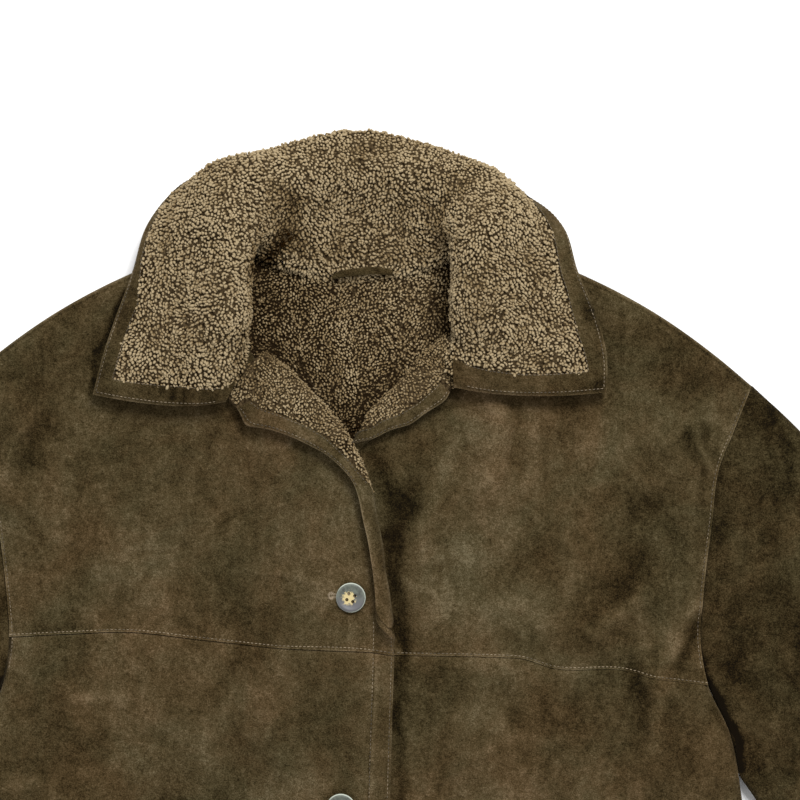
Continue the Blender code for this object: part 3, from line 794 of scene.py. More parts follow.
lower_us = rings(FRONT_WIDTH, FRONT_STEP, lines=(FRONT_WIDTH - BAND_WIDTH,))
lower_vs = rings(FRONT_LENGTH, FRONT_STEP, lines=(HEM_WIDTH,))
sewn_insets = (
    ((1 - lower_us)[None, :] * FRONT_WIDTH, BAND_WIDTH),
    (lower_vs[:, None] * FRONT_LENGTH, HEM_WIDTH),
)
over_side = end_to_end(mirrored(side_seam), np.array(OVER_ARM_END))
half_hem = curve(HEM[2:])
body = []
for side, hem, yoke, outer, edge, lift in (
        ("over", mirrored(half_hem), YOKE_OVER, over_side, EDGE_OVER, over_lift),
        ("under", half_hem, YOKE_UNDER, side_seam, EDGE_UNDER, under_lift)):
    hem = np.concatenate([spread(hem[::-1], np.linspace(0, 1, SEAM_POINTS)), [edge[0]]])
    low_yoke = np.concatenate([curve(yoke) - (0, SEAM_GAP), [edge[-1]]])
    plan = patch(hem, low_yoke, outer, curve(edge), lower_us, lower_vs)
    drop = rim_drop(lower_us, lower_vs, FRONT_WIDTH, FRONT_LENGTH, FRONT_EDGES)
    low = lift(plan[..., 0], plan[..., 1])
    crease, shade = creases(side, plan[..., 0], plan[..., 1])
    tone = skin_tone(plan, FRONT_WIDTH, FRONT_LENGTH, lower_us, lower_vs, FRONT_RUB)
    for inset, place in sewn_insets:
        groove, pale = sewn_line(inset, place)
        drop = drop + groove
        tone = tone + pale
    piece = wall(f"front_lower_{side}", with_height(plan, low + WALL - drop + crease),
                 with_height(plan, low), tone + shade, (hide, wool_ground))
    body.append(piece)

# The yokes run from the lapped cross seam to the shoulder. Towards the neck each turns over on a
# soft roll, so its fleece faces up as a small lapel, with a bare strip of hide along the edge.
YOKE_WIDTH = 300
YOKE_RUB = 0.26
YOKE_EDGES = (
    ("lapped", "none", "none", "none"),
    ("none", "none", "lapped", "none"),
    ("none", "none", "none", "fold"),
)
ARMHOLE_CLEAR = 3
NECKLINE_OVER = ((-84, 311), (-90, 322), (-95, 340), (-99, 370), (-99.5, 393), (-99.7, 407), (-100, 415))
NECKLINE_UNDER = ((82, 324), (87, 333), (93, 347), (98, 372), (99.5, 393), (99.7, 407), (100, 415))

# Roll line of each lapel from the yoke seam up: x, y, heading of the roll in degrees, how far the
# skin is turned over in degrees, width of skin beyond the line, radius of the roll
ROLL_OVER = (
    (14, 65.8, -9, 0, 19, 4.2),
    (14, 75, -9, 0, 19, 4.2),
    (19, 83, -6, 50, 18, 4.2),
    (22.3, 91, -3, 125, 17.5, 4.2),
    (21.3, 99, 0, 180, 16.8, 4.2),
    (20.3, 107, 0, 180, 16.2, 4.2),
    (19.5, 114, 0, 180, 15.7, 4.2),
    (16, 135, -5, 180, 14.2, 4.2),
    (13, 159, 1, 180, 15.3, 4.2),
    (8.5, 180, 16, 180, 15.2, 4.2),
    (6.5, 197, 28, 180, 17, 4.2),
    (2.5, 212, 33, 180, 18.2, 4.2),
    (-4.1, 226, 31, 180, 22.2, 4.2),
    (-10.6, 239, 26, 180, 29.5, 4.5),
    (-23.1, 257.5, 21, 180, 47.4, 5.0),
    (-35, 269.2, 23, 180, 58.6, 5.5),
    (-47, 281, 30, 180, 71, 6.0),
    (-58, 291, 30, 180, 65.5, 6.5),
    (-68, 299, 31, 180, 67, 7.0),
    (-77, 306, 34, 180, 60, 7.5),
    (-84, 311, 39, 180, 50, 8.0),
)
ROLL_UNDER = (
    (-11, 63, 180, 0, 19, 4.2),
    (-11, 105, 180, 0, 19, 4.2),
    (-10, 145, 178, 0, 19, 4.2),
    (-9, 185, 172, 0, 19, 4.2),
    (-6, 215, 162, 0, 15, 4.2),
    (2, 226, 145, 10, 8, 4.2),
    (4.5, 235, 141, 90, 8.5, 4.2),
    (8, 241, 141, 150, 12.5, 4.2),
    (11.5, 247.5, 141, 180, 18, 4.2),
    (18.9, 262.6, 139, 180, 29.2, 4.2),
    (29.2, 272.9, 136, 180, 38.2, 4.5),
    (41.8, 284.6, 136, 180, 41.2, 5.0),
    (54, 297.2, 137, 180, 47.8, 5.5),
    (64.2, 307.8, 135, 180, 44.7, 6.0),
    (70.8, 313.6, 133, 180, 39.7, 6.5),
    (77.5, 319.6, 130, 180, 35, 7.0),
    (82, 324, 128, 180, 30, 7.0),
)
ROLL_POINTS = 240
ROW_STEP = 3.4
NECK_ROWS = 24
ROLL_COLUMNS = 9
WOOL_COLUMNS = 9
EDGE_SHARES = np.array((0.25, 0.5, 0.75, 0.9, 0.97, 1.0))
LAPEL_GAP = 2.6
ROLL_SPARE = 7.2
TURNED_FROM = 2.7
EDGE_LOSS = 1.8
EDGE_PALE = 0.08

# The shoulder seam's groove, the painted shade where one lapel meets the other, and a worn corner
SHOULDER_ROW = -5
SHOULDER_DARK = 0.16
SHOULDER_SINK = 0.7
LAP_SHADE_AND_WEAR = ((-3, 238, 5, 243, 4.5, 0, -0.4), (32, 66, 34, 66, 2.0, 0, 0.35))

# The strip: up the roll line it runs from a start to an end, and its inner edge lies at some
# distance beyond the line. Its tones run from that inner edge to the free edge.
STRIP_WIDTH = 17.6
STRIP_WALL = 1.6
STRIP_LEAST = 4
STRIP_START = {"over": 85.0, "under": 234.0}
STRIP_END = {"over": 293.5, "under": 304.0}
STRIP_FROM = {
    "over": (
        (186, 192, 198, 205, 212, 219, 226, 233, 239, 248, 257.5, 263, 269.2, 275, 281, 286, 291, 296),
        (3.6, 6.0, 8.2, 10.0, 11.4, 12.4, 13.2, 16.0, 18.8, 22.4, 28.6, 32.4, 37.3, 41.0, 45.5, 50.4,
         52.2, 53.4),
    ),
    "under": (
        (234, 241, 247.5, 262.6, 272.9, 284.6, 297.2, 303),
        (1.5, 5.5, 9.6, 17.6, 25.2, 30.4, 33.2, 34),
    ),
}
STRIP_EDGE = ((0, 1.2, 3.5, 6), (EDGE_LOSS, 0.9, 0.3, 0))
STRIP_SHARES = np.array((0, 0.08, 0.2, 0.35, 0.5, 0.65, 0.8, 0.9, 0.96, 1.0))
STRIP_TONE = (-0.05, 0, 0, 0, 0.03, 0.0, -0.06, 0.02, 0.30, 0.40)
WORN_SPOTS = ((53, 261, 58, 265, 2.2, 0, 0.7), (-92.5, 255, -89, 254.5, 1.6, 0, 0.5))

# On the over front the strip's edge is worn only from some way up, and below the collar the strip
# has a long crease, with painted shade in it and painted light beside it: the heights between which
# it shows, and how fast it fades in
WORN_FROM = 96
WORN_REACH = 60
CREASE_FOOT = 100
CREASE_FOOT_REACH = 10
CREASE_TOP = 200
CREASE_TOP_REACH = 24
STRIP_CREASE_LIGHT_AND_SHADE = np.array((0, 0, 0.03, 0.06, -0.16, -0.10, 0.10, 0.10, 0, 0))
STRIP_CREASE_SINK = np.array((0, 0, 0, 0.1, 0.7, 0.5, 0, 0, 0, 0))

# The lapel's wool starts a little below the strip's first height, runs just under the strip, and
# above the strip's end leaves a margin along the free edge
WOOL_BELOW = 2
WOOL_UNDER_STRIP = 0.8
WOOL_MARGIN = 3.0


def turned_over(lift, rolled, offset, lengths):
    """Places at some lengths beyond the roll line and an offset from the skin's middle."""
    foot, foot_low, heading, turn, width, radius = rolled
    angle = np.minimum(lengths / radius, turn)
    straight = np.maximum(lengths - radius * turn, 0)
    out = radius * np.sin(angle) + straight * np.cos(angle) - offset * np.sin(angle)
    up = radius * (1 - np.cos(angle)) + straight * np.sin(angle)
    x = foot[:, :1] + out * np.cos(heading)
    y = foot[:, 1:] + out * np.sin(heading)
    z = foot_low + WALL / 2 + up + offset * np.cos(angle)
    rest = lift(x, y) + WALL / 2 + WALL + LAPEL_GAP - (foot_low + WALL / 2) - up
    flat_share = ease(straight / np.maximum(width - radius * turn, 1.0))
    full = ease((turn - TURNED_FROM) / (math.pi - TURNED_FROM))
    return np.stack([x, y, z + rest * flat_share * full], axis=2)


strip_hide = hide_finish("strip_hide", 0.02)
lapels = {}
for side, yoke, armhole, shoulder, neckline, roll, lift in (
        ("over", YOKE_OVER, mirrored(armhole_seam), mirrored(shoulder_seam), NECKLINE_OVER, ROLL_OVER,
         over_lift),
        ("under", YOKE_UNDER, armhole_seam, shoulder_seam, NECKLINE_UNDER, ROLL_UNDER, under_lift)):
    roll = np.array(roll, float)
    roll_line = curve(roll[:, :2], ROLL_POINTS)
    neck_line = curve(neckline)
    roll_length = length_of(roll_line)[-1]
    neck_length = length_of(neck_line)[-1]
    heights = list(RIM) + list(np.linspace(RIM[-1], roll_length, int(roll_length / ROW_STEP))[1:])
    lapel_top = len(heights) - 1
    heights += list(np.linspace(roll_length, roll_length + neck_length - RIM[-1], NECK_ROWS)[1:])
    heights += [roll_length + neck_length - inset for inset in RIM[-2::-1]]
    vs = np.array(heights) / heights[-1]
    us = rings(YOKE_WIDTH, open_end=True)
    flat = len(us) - 1
    outer = np.concatenate([[yoke[0]], armhole[armhole[:, 1] > yoke[0][1] + ARMHOLE_CLEAR]])
    plan = patch(curve(yoke), shoulder[::-1], outer, end_to_end(roll_line, neck_line), us, vs)
    low = lift(plan[..., 0], plan[..., 1])
    crease, shade = creases(side, plan[..., 0], plan[..., 1])
    drops = [rim_drop(us, vs, YOKE_WIDTH, heights[-1], kinds) for kinds in YOKE_EDGES]
    drop = np.minimum(drops[0], drops[1]) + drops[2]

    # The table of the roll, read at every row of the panel and smoothed twice
    knots = length_of(roll[:, :2])
    knots *= roll_length / knots[-1]
    along = np.array(heights[:lapel_top + 1])
    table = np.stack([np.interp(along, knots, column) for column in roll.T[2:]], axis=1)
    for _ in range(2):
        table[1:-1] = (table[:-2] + 2 * table[1:-1] + table[2:]) / 4
    heading, turn, width, radius = table.T[:, :, None]
    foot = spread(roll_line, along / roll_length)
    foot_low = lift(foot[:, 0], foot[:, 1])[:, None]
    rolled = (foot, foot_low, np.radians(heading), np.radians(turn), width, radius)

    # The skin beyond the roll line: over the roll, then its wool, then the rounded free edge
    turned = np.minimum(np.pi * radius, width - ROLL_SPARE)
    bare = np.maximum(width - STRIP_WIDTH, turned + 1)
    lengths = np.concatenate([
        turned * np.linspace(0, 1, ROLL_COLUMNS)[None, 1:],
        turned + (bare - turned) * np.linspace(0, 1, WOOL_COLUMNS)[None, 1:],
        bare + (width - bare) * EDGE_SHARES[None, :],
    ], axis=1)
    half = np.full(lengths.shape[1], WALL / 2)
    half[-3:] -= STRIP_EDGE[1][2::-1]
    row_drop = drop[:lapel_top + 1, flat:flat + 1]
    tail = np.zeros((len(vs) - lapel_top - 1, lengths.shape[1], 3))
    suede_beyond = np.concatenate([turned_over(lift, rolled, half - row_drop, lengths), tail])
    wool_beyond = np.concatenate([turned_over(lift, rolled, -half, lengths), tail])
    outside = np.concatenate([with_height(plan, low + WALL - drop + crease), suede_beyond], axis=1)
    inside = np.concatenate([with_height(plan, low), wool_beyond], axis=1)
    kept = np.ones((len(vs) - 1, outside.shape[1] - 1), bool)
    kept[lapel_top:, flat:] = False
    tone = np.zeros(outside.shape[:2])
    tone[:, :flat + 1] = skin_tone(plan, YOKE_WIDTH, heights[-1], np.minimum(us, 0.5), vs, YOKE_RUB) + shade
    tone[SHOULDER_ROW, :flat + 1] -= SHOULDER_DARK
    outside[SHOULDER_ROW, :flat + 1, 2] -= SHOULDER_SINK
    tone[:, -4:] += EDGE_PALE
    tone += bumps(outside[..., 0], outside[..., 1], LAP_SHADE_AND_WEAR, TONE)
    piece = wall(f"front_upper_{side}", outside, inside, tone, (hide, wool_ground), kept=kept)
    body.append(piece)

    # The strip lies on the wool side, along the free edge
    start = np.minimum(np.interp(foot[:, 1:], *STRIP_FROM[side]), width - STRIP_LEAST)
    strip_lengths = start + (width - start) * STRIP_SHARES[None, :]
    strip_half = WALL / 2 - np.interp(width - strip_lengths, *STRIP_EDGE)
    strip_low = turned_over(lift, rolled, -strip_half - GAP, strip_lengths)
    strip_high = turned_over(lift, rolled, -strip_half - GAP - STRIP_WALL, strip_lengths)
    strip_tone = bumps(strip_high[..., 0], strip_high[..., 1], WORN_SPOTS, TONE) + STRIP_TONE
    up = foot[:, 1:]
    if side == "over":
        strip_tone[:, -2:] *= ease((up - WORN_FROM) / WORN_REACH)
        creased = ease((CREASE_TOP - up) / CREASE_TOP_REACH) * ease((up - CREASE_FOOT) / CREASE_FOOT_REACH)
        strip_tone += creased * STRIP_CREASE_LIGHT_AND_SHADE
        strip_high[..., 2] -= creased * STRIP_CREASE_SINK
    strip_rows = (foot[:, 1] >= STRIP_START[side]) & (foot[:, 1] <= STRIP_END[side])
    first_row, last_row = np.flatnonzero(strip_rows)[[0, -1]]
    rows = slice(first_row, last_row + 1)
    strip = wall(f"front_strip_{side}", strip_high[rows], strip_low[rows], strip_tone[rows],
                 (strip_hide, strip_hide))

    # The share of each cell beyond the roll line on which wool grows
    cell_middles = (lengths[:-1, 1:] + lengths[:-1, :-1]) / 2
    cover = np.ones(cell_middles.shape)
    cover[rows] = cell_middles[rows] <= (start[:-1] - WOOL_UNDER_STRIP)[rows]
    cover[foot[:-1, 1] < STRIP_FROM[side][0][1] - WOOL_BELOW] = 0
    if side == "over":
        cover[(up[:-1] > up[last_row]) & (lengths[:-1, 1:] > width[:-1] - WOOL_MARGIN)] = 0
    lapels[side] = {"wool": inside[:lapel_top + 1, flat + 1:], "cover": cover, "strip": strip_high[rows]}

# The collar is one large skin with its fleece up. Its stand rises inside the neck, it rolls over
# at the back, and its leaves lie out over the shoulders. Each row below runs from the neck seam over
# the roll to the free edge, from the over side's end round the back to the under side's.
COLLAR = (
    ((-108, 276, 29), (-127, 274, 30), (-150, 273, 30), (-186, 276, 28), (-219, 281.5, 25)),
    ((-98, 306, 32), (-108, 303, 38), (-138, 302, 36), (-178, 305, 30), (-211, 312, 25)),
    ((-99, 342, 26), (-93, 339, 38), (-100, 338, 49), (-150, 338, 37), (-202, 339, 24)),
    ((-101, 382, 24), (-91.5, 378, 39), (-100, 382, 55), (-143, 385, 41), (-185, 384, 23)),
    ((-97, 417, 23), (-84, 411, 38), (-96, 424, 55), (-136, 430, 40), (-172, 424, 17)),
    ((-68, 399, 14), (-63, 425, 27), (-96, 457, 44), (-129, 461.5, 28), (-148.5, 451, 9)),
    ((-36, 388.8, 9), (-38, 428, 18), (-62, 472, 34), (-75.5, 481.5, 18), (-66, 463, 8)),
    ((2, 385, 7.8), (2, 430, 13), (2, 480, 26), (2, 498, 15), (2, 477, 7.5)),
    ((38, 388.8, 9), (42, 428, 18), (64, 471, 34), (76, 481, 18), (66, 462, 8)),
    ((70, 399, 14), (68, 427, 28), (96, 455, 44), (125, 456.5, 28), (143, 443, 9)),
    ((98, 417, 23), (83, 416, 38), (97, 429, 55), (138, 432, 40), (172, 422, 17)),
    ((101, 382, 24), (86, 382, 39), (98, 386, 55), (143, 387, 41), (185.5, 384, 23)),
    ((96, 348, 25), (86, 346, 37), (98, 346, 49), (148, 342, 37), (203.5, 343, 24)),
    ((85, 318, 31), (100, 315, 38), (132, 312, 37), (172, 311, 30), (210.5, 313, 25)),
    ((83, 288, 29), (104, 285, 30), (134, 282, 30), (172, 281, 28), (210.5, 283.5, 25)),
)
COLLAR_WALL = 9.5
COLLAR_EDGE_LOSS = 2.4
COLLAR_WIDTH = 150.0
COLLAR_STEP = 3.6
COLLAR_POINTS = 1201
COLLAR_ROWS = 170
COLLAR_RIM = 2.0
COLLAR_RUB = 0.25
EDGE_INSETS = np.array((0.0, 0.6, 1.6, 3.2, 6.0, 9.0, 13.0, STRIP_WIDTH))

# Width of the strip across the collar's two ends, at each place of a row above
END_BANDS = ((19.5, 24.0), (19.0, 22.0), (17.5, 18.5), (16.0, 18.5), (16.0, 20.0))

# Shares of the strip's width along the free edge: on the over side it narrows towards the back and
# widens again round it, and on the under side it is widest half way up
OVER_BAND = ((361, 373, 394, 430, 443), (1.0, 0.75, 0.40, 0.42, 0.25))
UNDER_BAND = ((283, 307, 319, 336, 355, 372), (1.0, 1.12, 1.25, 1.42, 1.25, 1.0))
BACK_BAND_FROM = -70
BACK_BAND_REACH = 60

# Wide painted shade on the leaves first, then the folds in the strip, with painted shade in their
# troughs and painted light on their ridges
COLLAR_CREASES = (
    (-205, 286, -120, 284, 9, 0, -0.17),
    (-216, 292, -178, 392, 12, 0, -0.18),
    (207, 290, 200, 345, 16, 0, -0.28),
    (200, 345, 190, 372, 12, 0, -0.24),
    (-146, 294, -149, 276, 2.6, -0.9, -0.24),
    (-139, 293, -138, 277, 2.4, -0.8, -0.20),
    (-133, 292, -131, 277, 3.0, 0.6, 0.06),
    (-196, 330, -209, 300, 5, -0.8, -0.08),
    (-176, 386, -190, 352, 4, 0.6, 0.05),
    (196, 352, 206, 310, 5, -0.7, -0.06),
    (120, 292, 150, 289, 3, -0.4, -0.06),
)


def unit(vectors):
    """Vectors made one long."""
    return vectors / np.maximum(np.linalg.norm(vectors, axis=-1, keepdims=True), 1e-9)


def facing_of(grid):
    """The way each point of a grid of skin faces."""
    return unit(np.cross(np.gradient(grid, axis=0), np.gradient(grid, axis=1)))


def strip_share(x, y):
    """Width of the strip at a place on the collar's free edge, as a share of its usual width."""
    if x > 0:
        return np.interp(y, *UNDER_BAND)
    return max(np.interp(y, *OVER_BAND), ease((x - BACK_BAND_FROM) / BACK_BAND_REACH))


stations = []
for part, bands in enumerate(END_BANDS):
    line = curve([station[part] for station in COLLAR], COLLAR_POINTS)
    whole = length_of(line)[-1]
    first, last = (EDGE_INSETS * band / STRIP_WIDTH for band in bands)
    middle = np.linspace(first[-1], whole - last[-1], COLLAR_ROWS)[1:-1]
    stations.append(spread(line, np.concatenate([first, middle, whole - last[::-1]]) / whole))
stations = np.stack(stations, axis=1)
row_insets = np.concatenate([EDGE_INSETS, np.full(COLLAR_ROWS - 2, STRIP_WIDTH), EDGE_INSETS[::-1]])
collar_middle, collar_insets = [], []
for station in stations:
    band = strip_share(*station[-1][:2])
    wool_width = COLLAR_WIDTH - STRIP_WIDTH * band
    wool_insets = COLLAR_WIDTH - np.linspace(0, wool_width, int(COLLAR_WIDTH / COLLAR_STEP))[:-1]
    insets = np.concatenate([wool_insets, EDGE_INSETS[::-1] * band])
    collar_insets.append(insets)
    collar_middle.append(spread(curve(station, 2 * SEAM_POINTS), 1 - insets / COLLAR_WIDTH))
collar_middle, collar_insets = np.array(collar_middle), np.array(collar_insets)
collar_facing = facing_of(collar_middle)
rim_share = np.maximum(np.exp(-(collar_insets / COLLAR_RIM) ** 2),
                       np.exp(-(row_insets / COLLAR_RIM) ** 2)[:, None])
collar_half = (COLLAR_WALL / 2 - COLLAR_EDGE_LOSS * rim_share)[..., None]
collar_suede = collar_middle - collar_facing * collar_half
collar_wool = collar_middle + collar_facing * collar_half
x, y = collar_wool[..., 0], collar_wool[..., 1]
collar_tone = COLLAR_RUB * rim_share + bumps(x, y, COLLAR_CREASES, TONE)
collar_wool[..., 2] += bumps(x, y, COLLAR_CREASES, HEIGHT)
collar = wall("collar", collar_suede, collar_wool, collar_tone, (hide, wool_ground))
on_strip = np.ones((collar_wool.shape[0] - 1, collar_wool.shape[1] - 1), bool)
strip_cells = len(EDGE_INSETS) - 1
on_strip[strip_cells:-strip_cells, :-strip_cells] = False
collar_strip_high = collar_wool + collar_facing * (GAP + STRIP_WALL)
collar_strip = wall("collar_strip", collar_strip_high, collar_wool + collar_facing * GAP, collar_tone,
                    (strip_hide, strip_hide), on_strip)

# Curly lambskin fleece: each lock of wool is a small tuft that rises from the skin and leans over.
# It is dark low down and pale at its top: partly the wool's own dark roots and pale ends, partly
# painted shade low in the wool and painted light on top.
WOOL_ROOT = (0.012, 0.005, 0.0004)
WOOL_BODY = (0.162, 0.112, 0.053)
WOOL_TIP_AND_TOP_LIGHT = (0.322, 0.250, 0.147)
WOOL_TONES = ((0.16, WOOL_ROOT), (0.55, WOOL_BODY), (1.0, WOOL_TIP_AND_TOP_LIGHT))
WOOL_SURFACE = {"Roughness": 0.85, "Specular IOR Level": 0.03}
WOOL_RELIEF = (0.6, 0.0006)

# Patterns of the wool: scale, detail, roughness, then what each adds to the tone. The first is its fibres.
WOOL_PATTERNS = ((1300.0, 2.0, 0.6, 0.34), (60.0, 4.0, 0.6, 0.30), (14.0, 3.0, 0.5, 0.22))


def wool_finish():
    """Wool of the curls."""
    material, tree, shader, place = fresh("wool")
    level = amount(tree, "ADD", attribute(tree, "tip_and_top_light"), attribute(tree, "lock"))
    evened = 0.0
    for scale, detail, rough, share in WOOL_PATTERNS:
        pattern = blotches(tree, place, scale, detail, rough)
        level = amount(tree, "MULTIPLY_ADD", pattern, share, level)
        evened += share / 2
    level = amount(tree, "SUBTRACT", level, evened)
    fibres = blotches(tree, place, *WOOL_PATTERNS[0][:3])
    dress(tree, shader, ramp(tree, level, WOOL_TONES), WOOL_SURFACE, WOOL_RELIEF, fibres)
    return material


wool = wool_finish()
SEED = 7
random = np.random.default_rng(SEED)
noise.seed_set(SEED)

# A lock: how many kinds there are, its bend, length and thickness, each with its change from one
# kind to the next, and how far it twists aside
LOCK_SHAPES = 6
LOCK_SIDES = 6
LOCK_RINGS = 4
LOCK_BEND = (1.1, 0.24)
LOCK_LENGTH = (4.3, 0.3)
LOCK_THICK = (1.42, 0.08)
LOCK_TWIST = 0.8
LOCK_TAPER = (0.8, 0.25)


def lock_shape(bend, length, thick, twist):
    """One lock: a ball drawn out along a curl, with how high each point stands in it, which paints it paler
    towards its top.
    """
    bm = bmesh.new()
    bmesh.ops.create_uvsphere(bm, u_segments=LOCK_SIDES, v_segments=LOCK_RINGS, radius=1)
    bmesh.ops.triangulate(bm, faces=bm.faces)
    places = []
    for vert in bm.verts:
        share = (vert.co.z + 1) / 2
        angle = bend * share
        ahead, up = length * (1 - math.cos(angle)) / bend, length * math.sin(angle) / bend
        side = Vector((vert.co.x, vert.co.y, 0)) * thick * (LOCK_TAPER[0] + LOCK_TAPER[1] * share)
        places.append(Vector((ahead, twist * share ** 2, up)) + Matrix.Rotation(angle, 3, "Y") @ side)
    places = np.array(places)
    tips_and_top_light = (places[:, 2] - places[:, 2].min()) / np.ptp(places[:, 2])
    faces = np.array([[vert.index for vert in face.verts] for face in bm.faces])
    bm.free()
    return places, tips_and_top_light, faces


lock_shapes = []
for number in range(LOCK_SHAPES):
    bend = LOCK_BEND[0] + LOCK_BEND[1] * number
    length = LOCK_LENGTH[0] - LOCK_LENGTH[1] * (number % 3)
    thick = LOCK_THICK[0] - LOCK_THICK[1] * (number % 3)
    lock_shapes.append(lock_shape(bend, length, thick, LOCK_TWIST * (-1) ** number))


def joined(name, verts, faces, attributes, finish):
    """One piece from many small shapes: their points in millimetres and their faces."""
    mesh = bpy.data.meshes.new(name)
    mesh.vertices.add(len(verts))
    mesh.vertices.foreach_set("co", (verts * MM).ravel())
    mesh.loops.add(faces.size)
    mesh.loops.foreach_set("vertex_index", faces.ravel())
    mesh.polygons.add(len(faces))
    mesh.polygons.foreach_set("loop_start", np.arange(0, faces.size, 3))
    mesh.update(calc_edges=True)
    mesh.shade_smooth()
    for label, values in attributes.items():
        layer = mesh.attributes.new(label, "FLOAT", "POINT")
        layer.data.foreach_set("value", values.astype(np.float32))
    mesh.materials.append(finish)
    piece = bpy.data.objects.new(name, mesh)
    bpy.context.scene.collection.objects.link(piece)
    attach(piece, "root")
    return piece


# How many places are tried for each square of skin one spacing wide
TRIES = 3.4


def scattered(grids, spacing):
    """Places at least a spacing apart on grids of skin, and the way the skin faces there."""
    places, facings = [], []
    for grid, facing, cover in grids:
        a, b, c, d = grid[:-1, :-1], grid[:-1, 1:], grid[1:, 1:], grid[1:, :-1]
        area = np.linalg.norm(np.cross(c - a, d - b), axis=2) / 2 * cover
        count = int(area.sum() / spacing ** 2 * TRIES)
        picked = random.choice(area.size, count, p=(area / area.sum()).ravel())
        row, column = np.unravel_index(picked, area.shape)
        s, t = random.random((2, count, 1))
        for field, found in ((grid, places), (facing, facings)):
            low = (1 - s) * field[row, column] + s * field[row, column + 1]
            high = (1 - s) * field[row + 1, column] + s * field[row + 1, column + 1]
            found.append((1 - t) * low + t * high)
    places, facings = np.concatenate(places), np.concatenate(facings)
    facings /= np.linalg.norm(facings, axis=1, keepdims=True)
    cells, chosen = {}, []
    keys = np.floor(places / spacing).astype(int)
    for index, (key, spot) in enumerate(zip(map(tuple, keys), places)):
        near = (cells.get((key[0] + i, key[1] + j, key[2] + k), ()) for i in (-1, 0, 1)
                for j in (-1, 0, 1) for k in (-1, 0, 1))
        if all(((spot - other) ** 2).sum() >= spacing ** 2 for others in near for other in others):
            cells.setdefault(key, []).append(spot)
            chosen.append(index)
    return places[chosen], facings[chosen]


# How the locks lie. They fall towards the hem and wander, and those of one tuft gather to its middle.
WOOL_FALL = np.array((0.05, -0.65, 0.0))
WANDER = 1.7
WANDER_SCALE = 0.033
TUFT_SCALE = 0.135
GATHER = 0.5
STRAY = 0.22
PARTING_WIDTH = 0.13
LOCK_SIZES = (0.80, 1.22)

# Furrows and swellings in the depth of the wool: their scales, and the place of each in the noise
FURROW_SCALE = (0.12, 0.04, 0.06)
FURROW_PLACE = Vector((50, 0, 0))
SWELL_SCALE = 0.042
SWELL_PLACE = Vector((0, 90, 0))

# Tone of a lock: its scatter, the painted light that height adds, the painted shade that a parting
# adds, and what every lock adds. Then how deep its root sits in the skin, and what height and a
# parting add to that.
LOCK_SCATTER = 0.08
RISE_PAINTED_LIGHT = 0.20
PARTING_PAINTED_SHADE = 0.09
LOCK_TONE = 0.02
ROOT_DEPTH = 1.2
RISE_DEPTH = 0.9
PARTING_DEPTH = 0.5


def grown(name, grids, spacing, size, dark):
    """A field of locks over grids of skin, each grid with its facings and the share of it to cover."""
    places, facings = scattered(grids, spacing)
    count = len(places)
    wander = np.array([noise.noise_vector(Vector(place) * WANDER_SCALE) for place in places])
    rise = np.array([noise.noise(Vector(place * FURROW_SCALE) + FURROW_PLACE)
                     + noise.noise(Vector(place) * SWELL_SCALE + SWELL_PLACE) for place in places])
    found = [noise.voronoi(Vector(place) * TUFT_SCALE) for place in places]
    parting = np.array([away[1] - away[0] for away, _ in found])
    gather = np.array([(near[0] - Vector(place) * TUFT_SCALE)[:] for (_, near), place in zip(found, places)])
    lean = WOOL_FALL + WANDER * wander + GATHER * gather + STRAY * random.normal(0, 1, (count, 3))
    lean -= facings * (lean * facings).sum(axis=1, keepdims=True)
    lean = unit(lean)
    beside = np.cross(facings, lean)
    parted = np.exp(-(parting / PARTING_WIDTH) ** 2)
    scale = size * random.uniform(*LOCK_SIZES, (count, 1, 1))
    kind = random.integers(0, LOCK_SHAPES, count)
    # Swells of the wool get painted light, furrows and partings painted shade, and each field's own
    # darkening is taken off
    tone = random.normal(0, LOCK_SCATTER, count) + RISE_PAINTED_LIGHT * rise - PARTING_PAINTED_SHADE * parted + LOCK_TONE
    tone = tone - dark(places[:, 0], places[:, 1])
    places = places - facings * (ROOT_DEPTH - RISE_DEPTH * rise + PARTING_DEPTH * parted)[:, None]
    verts, faces, tips_and_top_light, tones = [], [], [], []
    start = 0
    for number, (shape, tip_and_top_light, triangles) in enumerate(lock_shapes):
        mine = kind == number
        local = shape[None] * scale[mine]
        verts.append((places[mine][:, None] + local[..., 0:1] * lean[mine][:, None]
                      + local[..., 1:2] * beside[mine][:, None]
                      + local[..., 2:3] * facings[mine][:, None]).reshape(-1, 3))
        tips_and_top_light.append(np.tile(tip_and_top_light, mine.sum()))
        tones.append(np.repeat(tone[mine], len(shape)))
        firsts = start + np.arange(mine.sum())[:, None, None] * len(shape)
        faces.append((triangles[None] + firsts).reshape(-1, 3))
        start += mine.sum() * len(shape)
    piece = joined(name, np.concatenate(verts), np.concatenate(faces),
                   {"tip_and_top_light": np.concatenate(tips_and_top_light), "lock": np.concatenate(tones)}, wool)


# The collar's wool grows in four stretches, from the over side round the back to the under side,
# each with the wool that hides the neck seam: from the stand's edge down to the wool inside the back
COLLAR_SPACING = 2.0
COLLAR_LOCK = 1.0
STRETCHES = ((0, 0.26), (0.26, 0.5), (0.5, 0.74), (0.74, 1.0))
SEAM_WOOL_FROM = 300
SEAM_MIDDLE_OUT = 2.5
SEAM_MIDDLE_DOWN = (0, 0, 1.0)
SEAM_OUT = 6
SEAM_DOWN = 3.5
SEAM_ON_BACK_FROM = 316
SEAM_ON_BACK = WALL + 1.5
SEAM_TILT = (0, 0, 1.3)

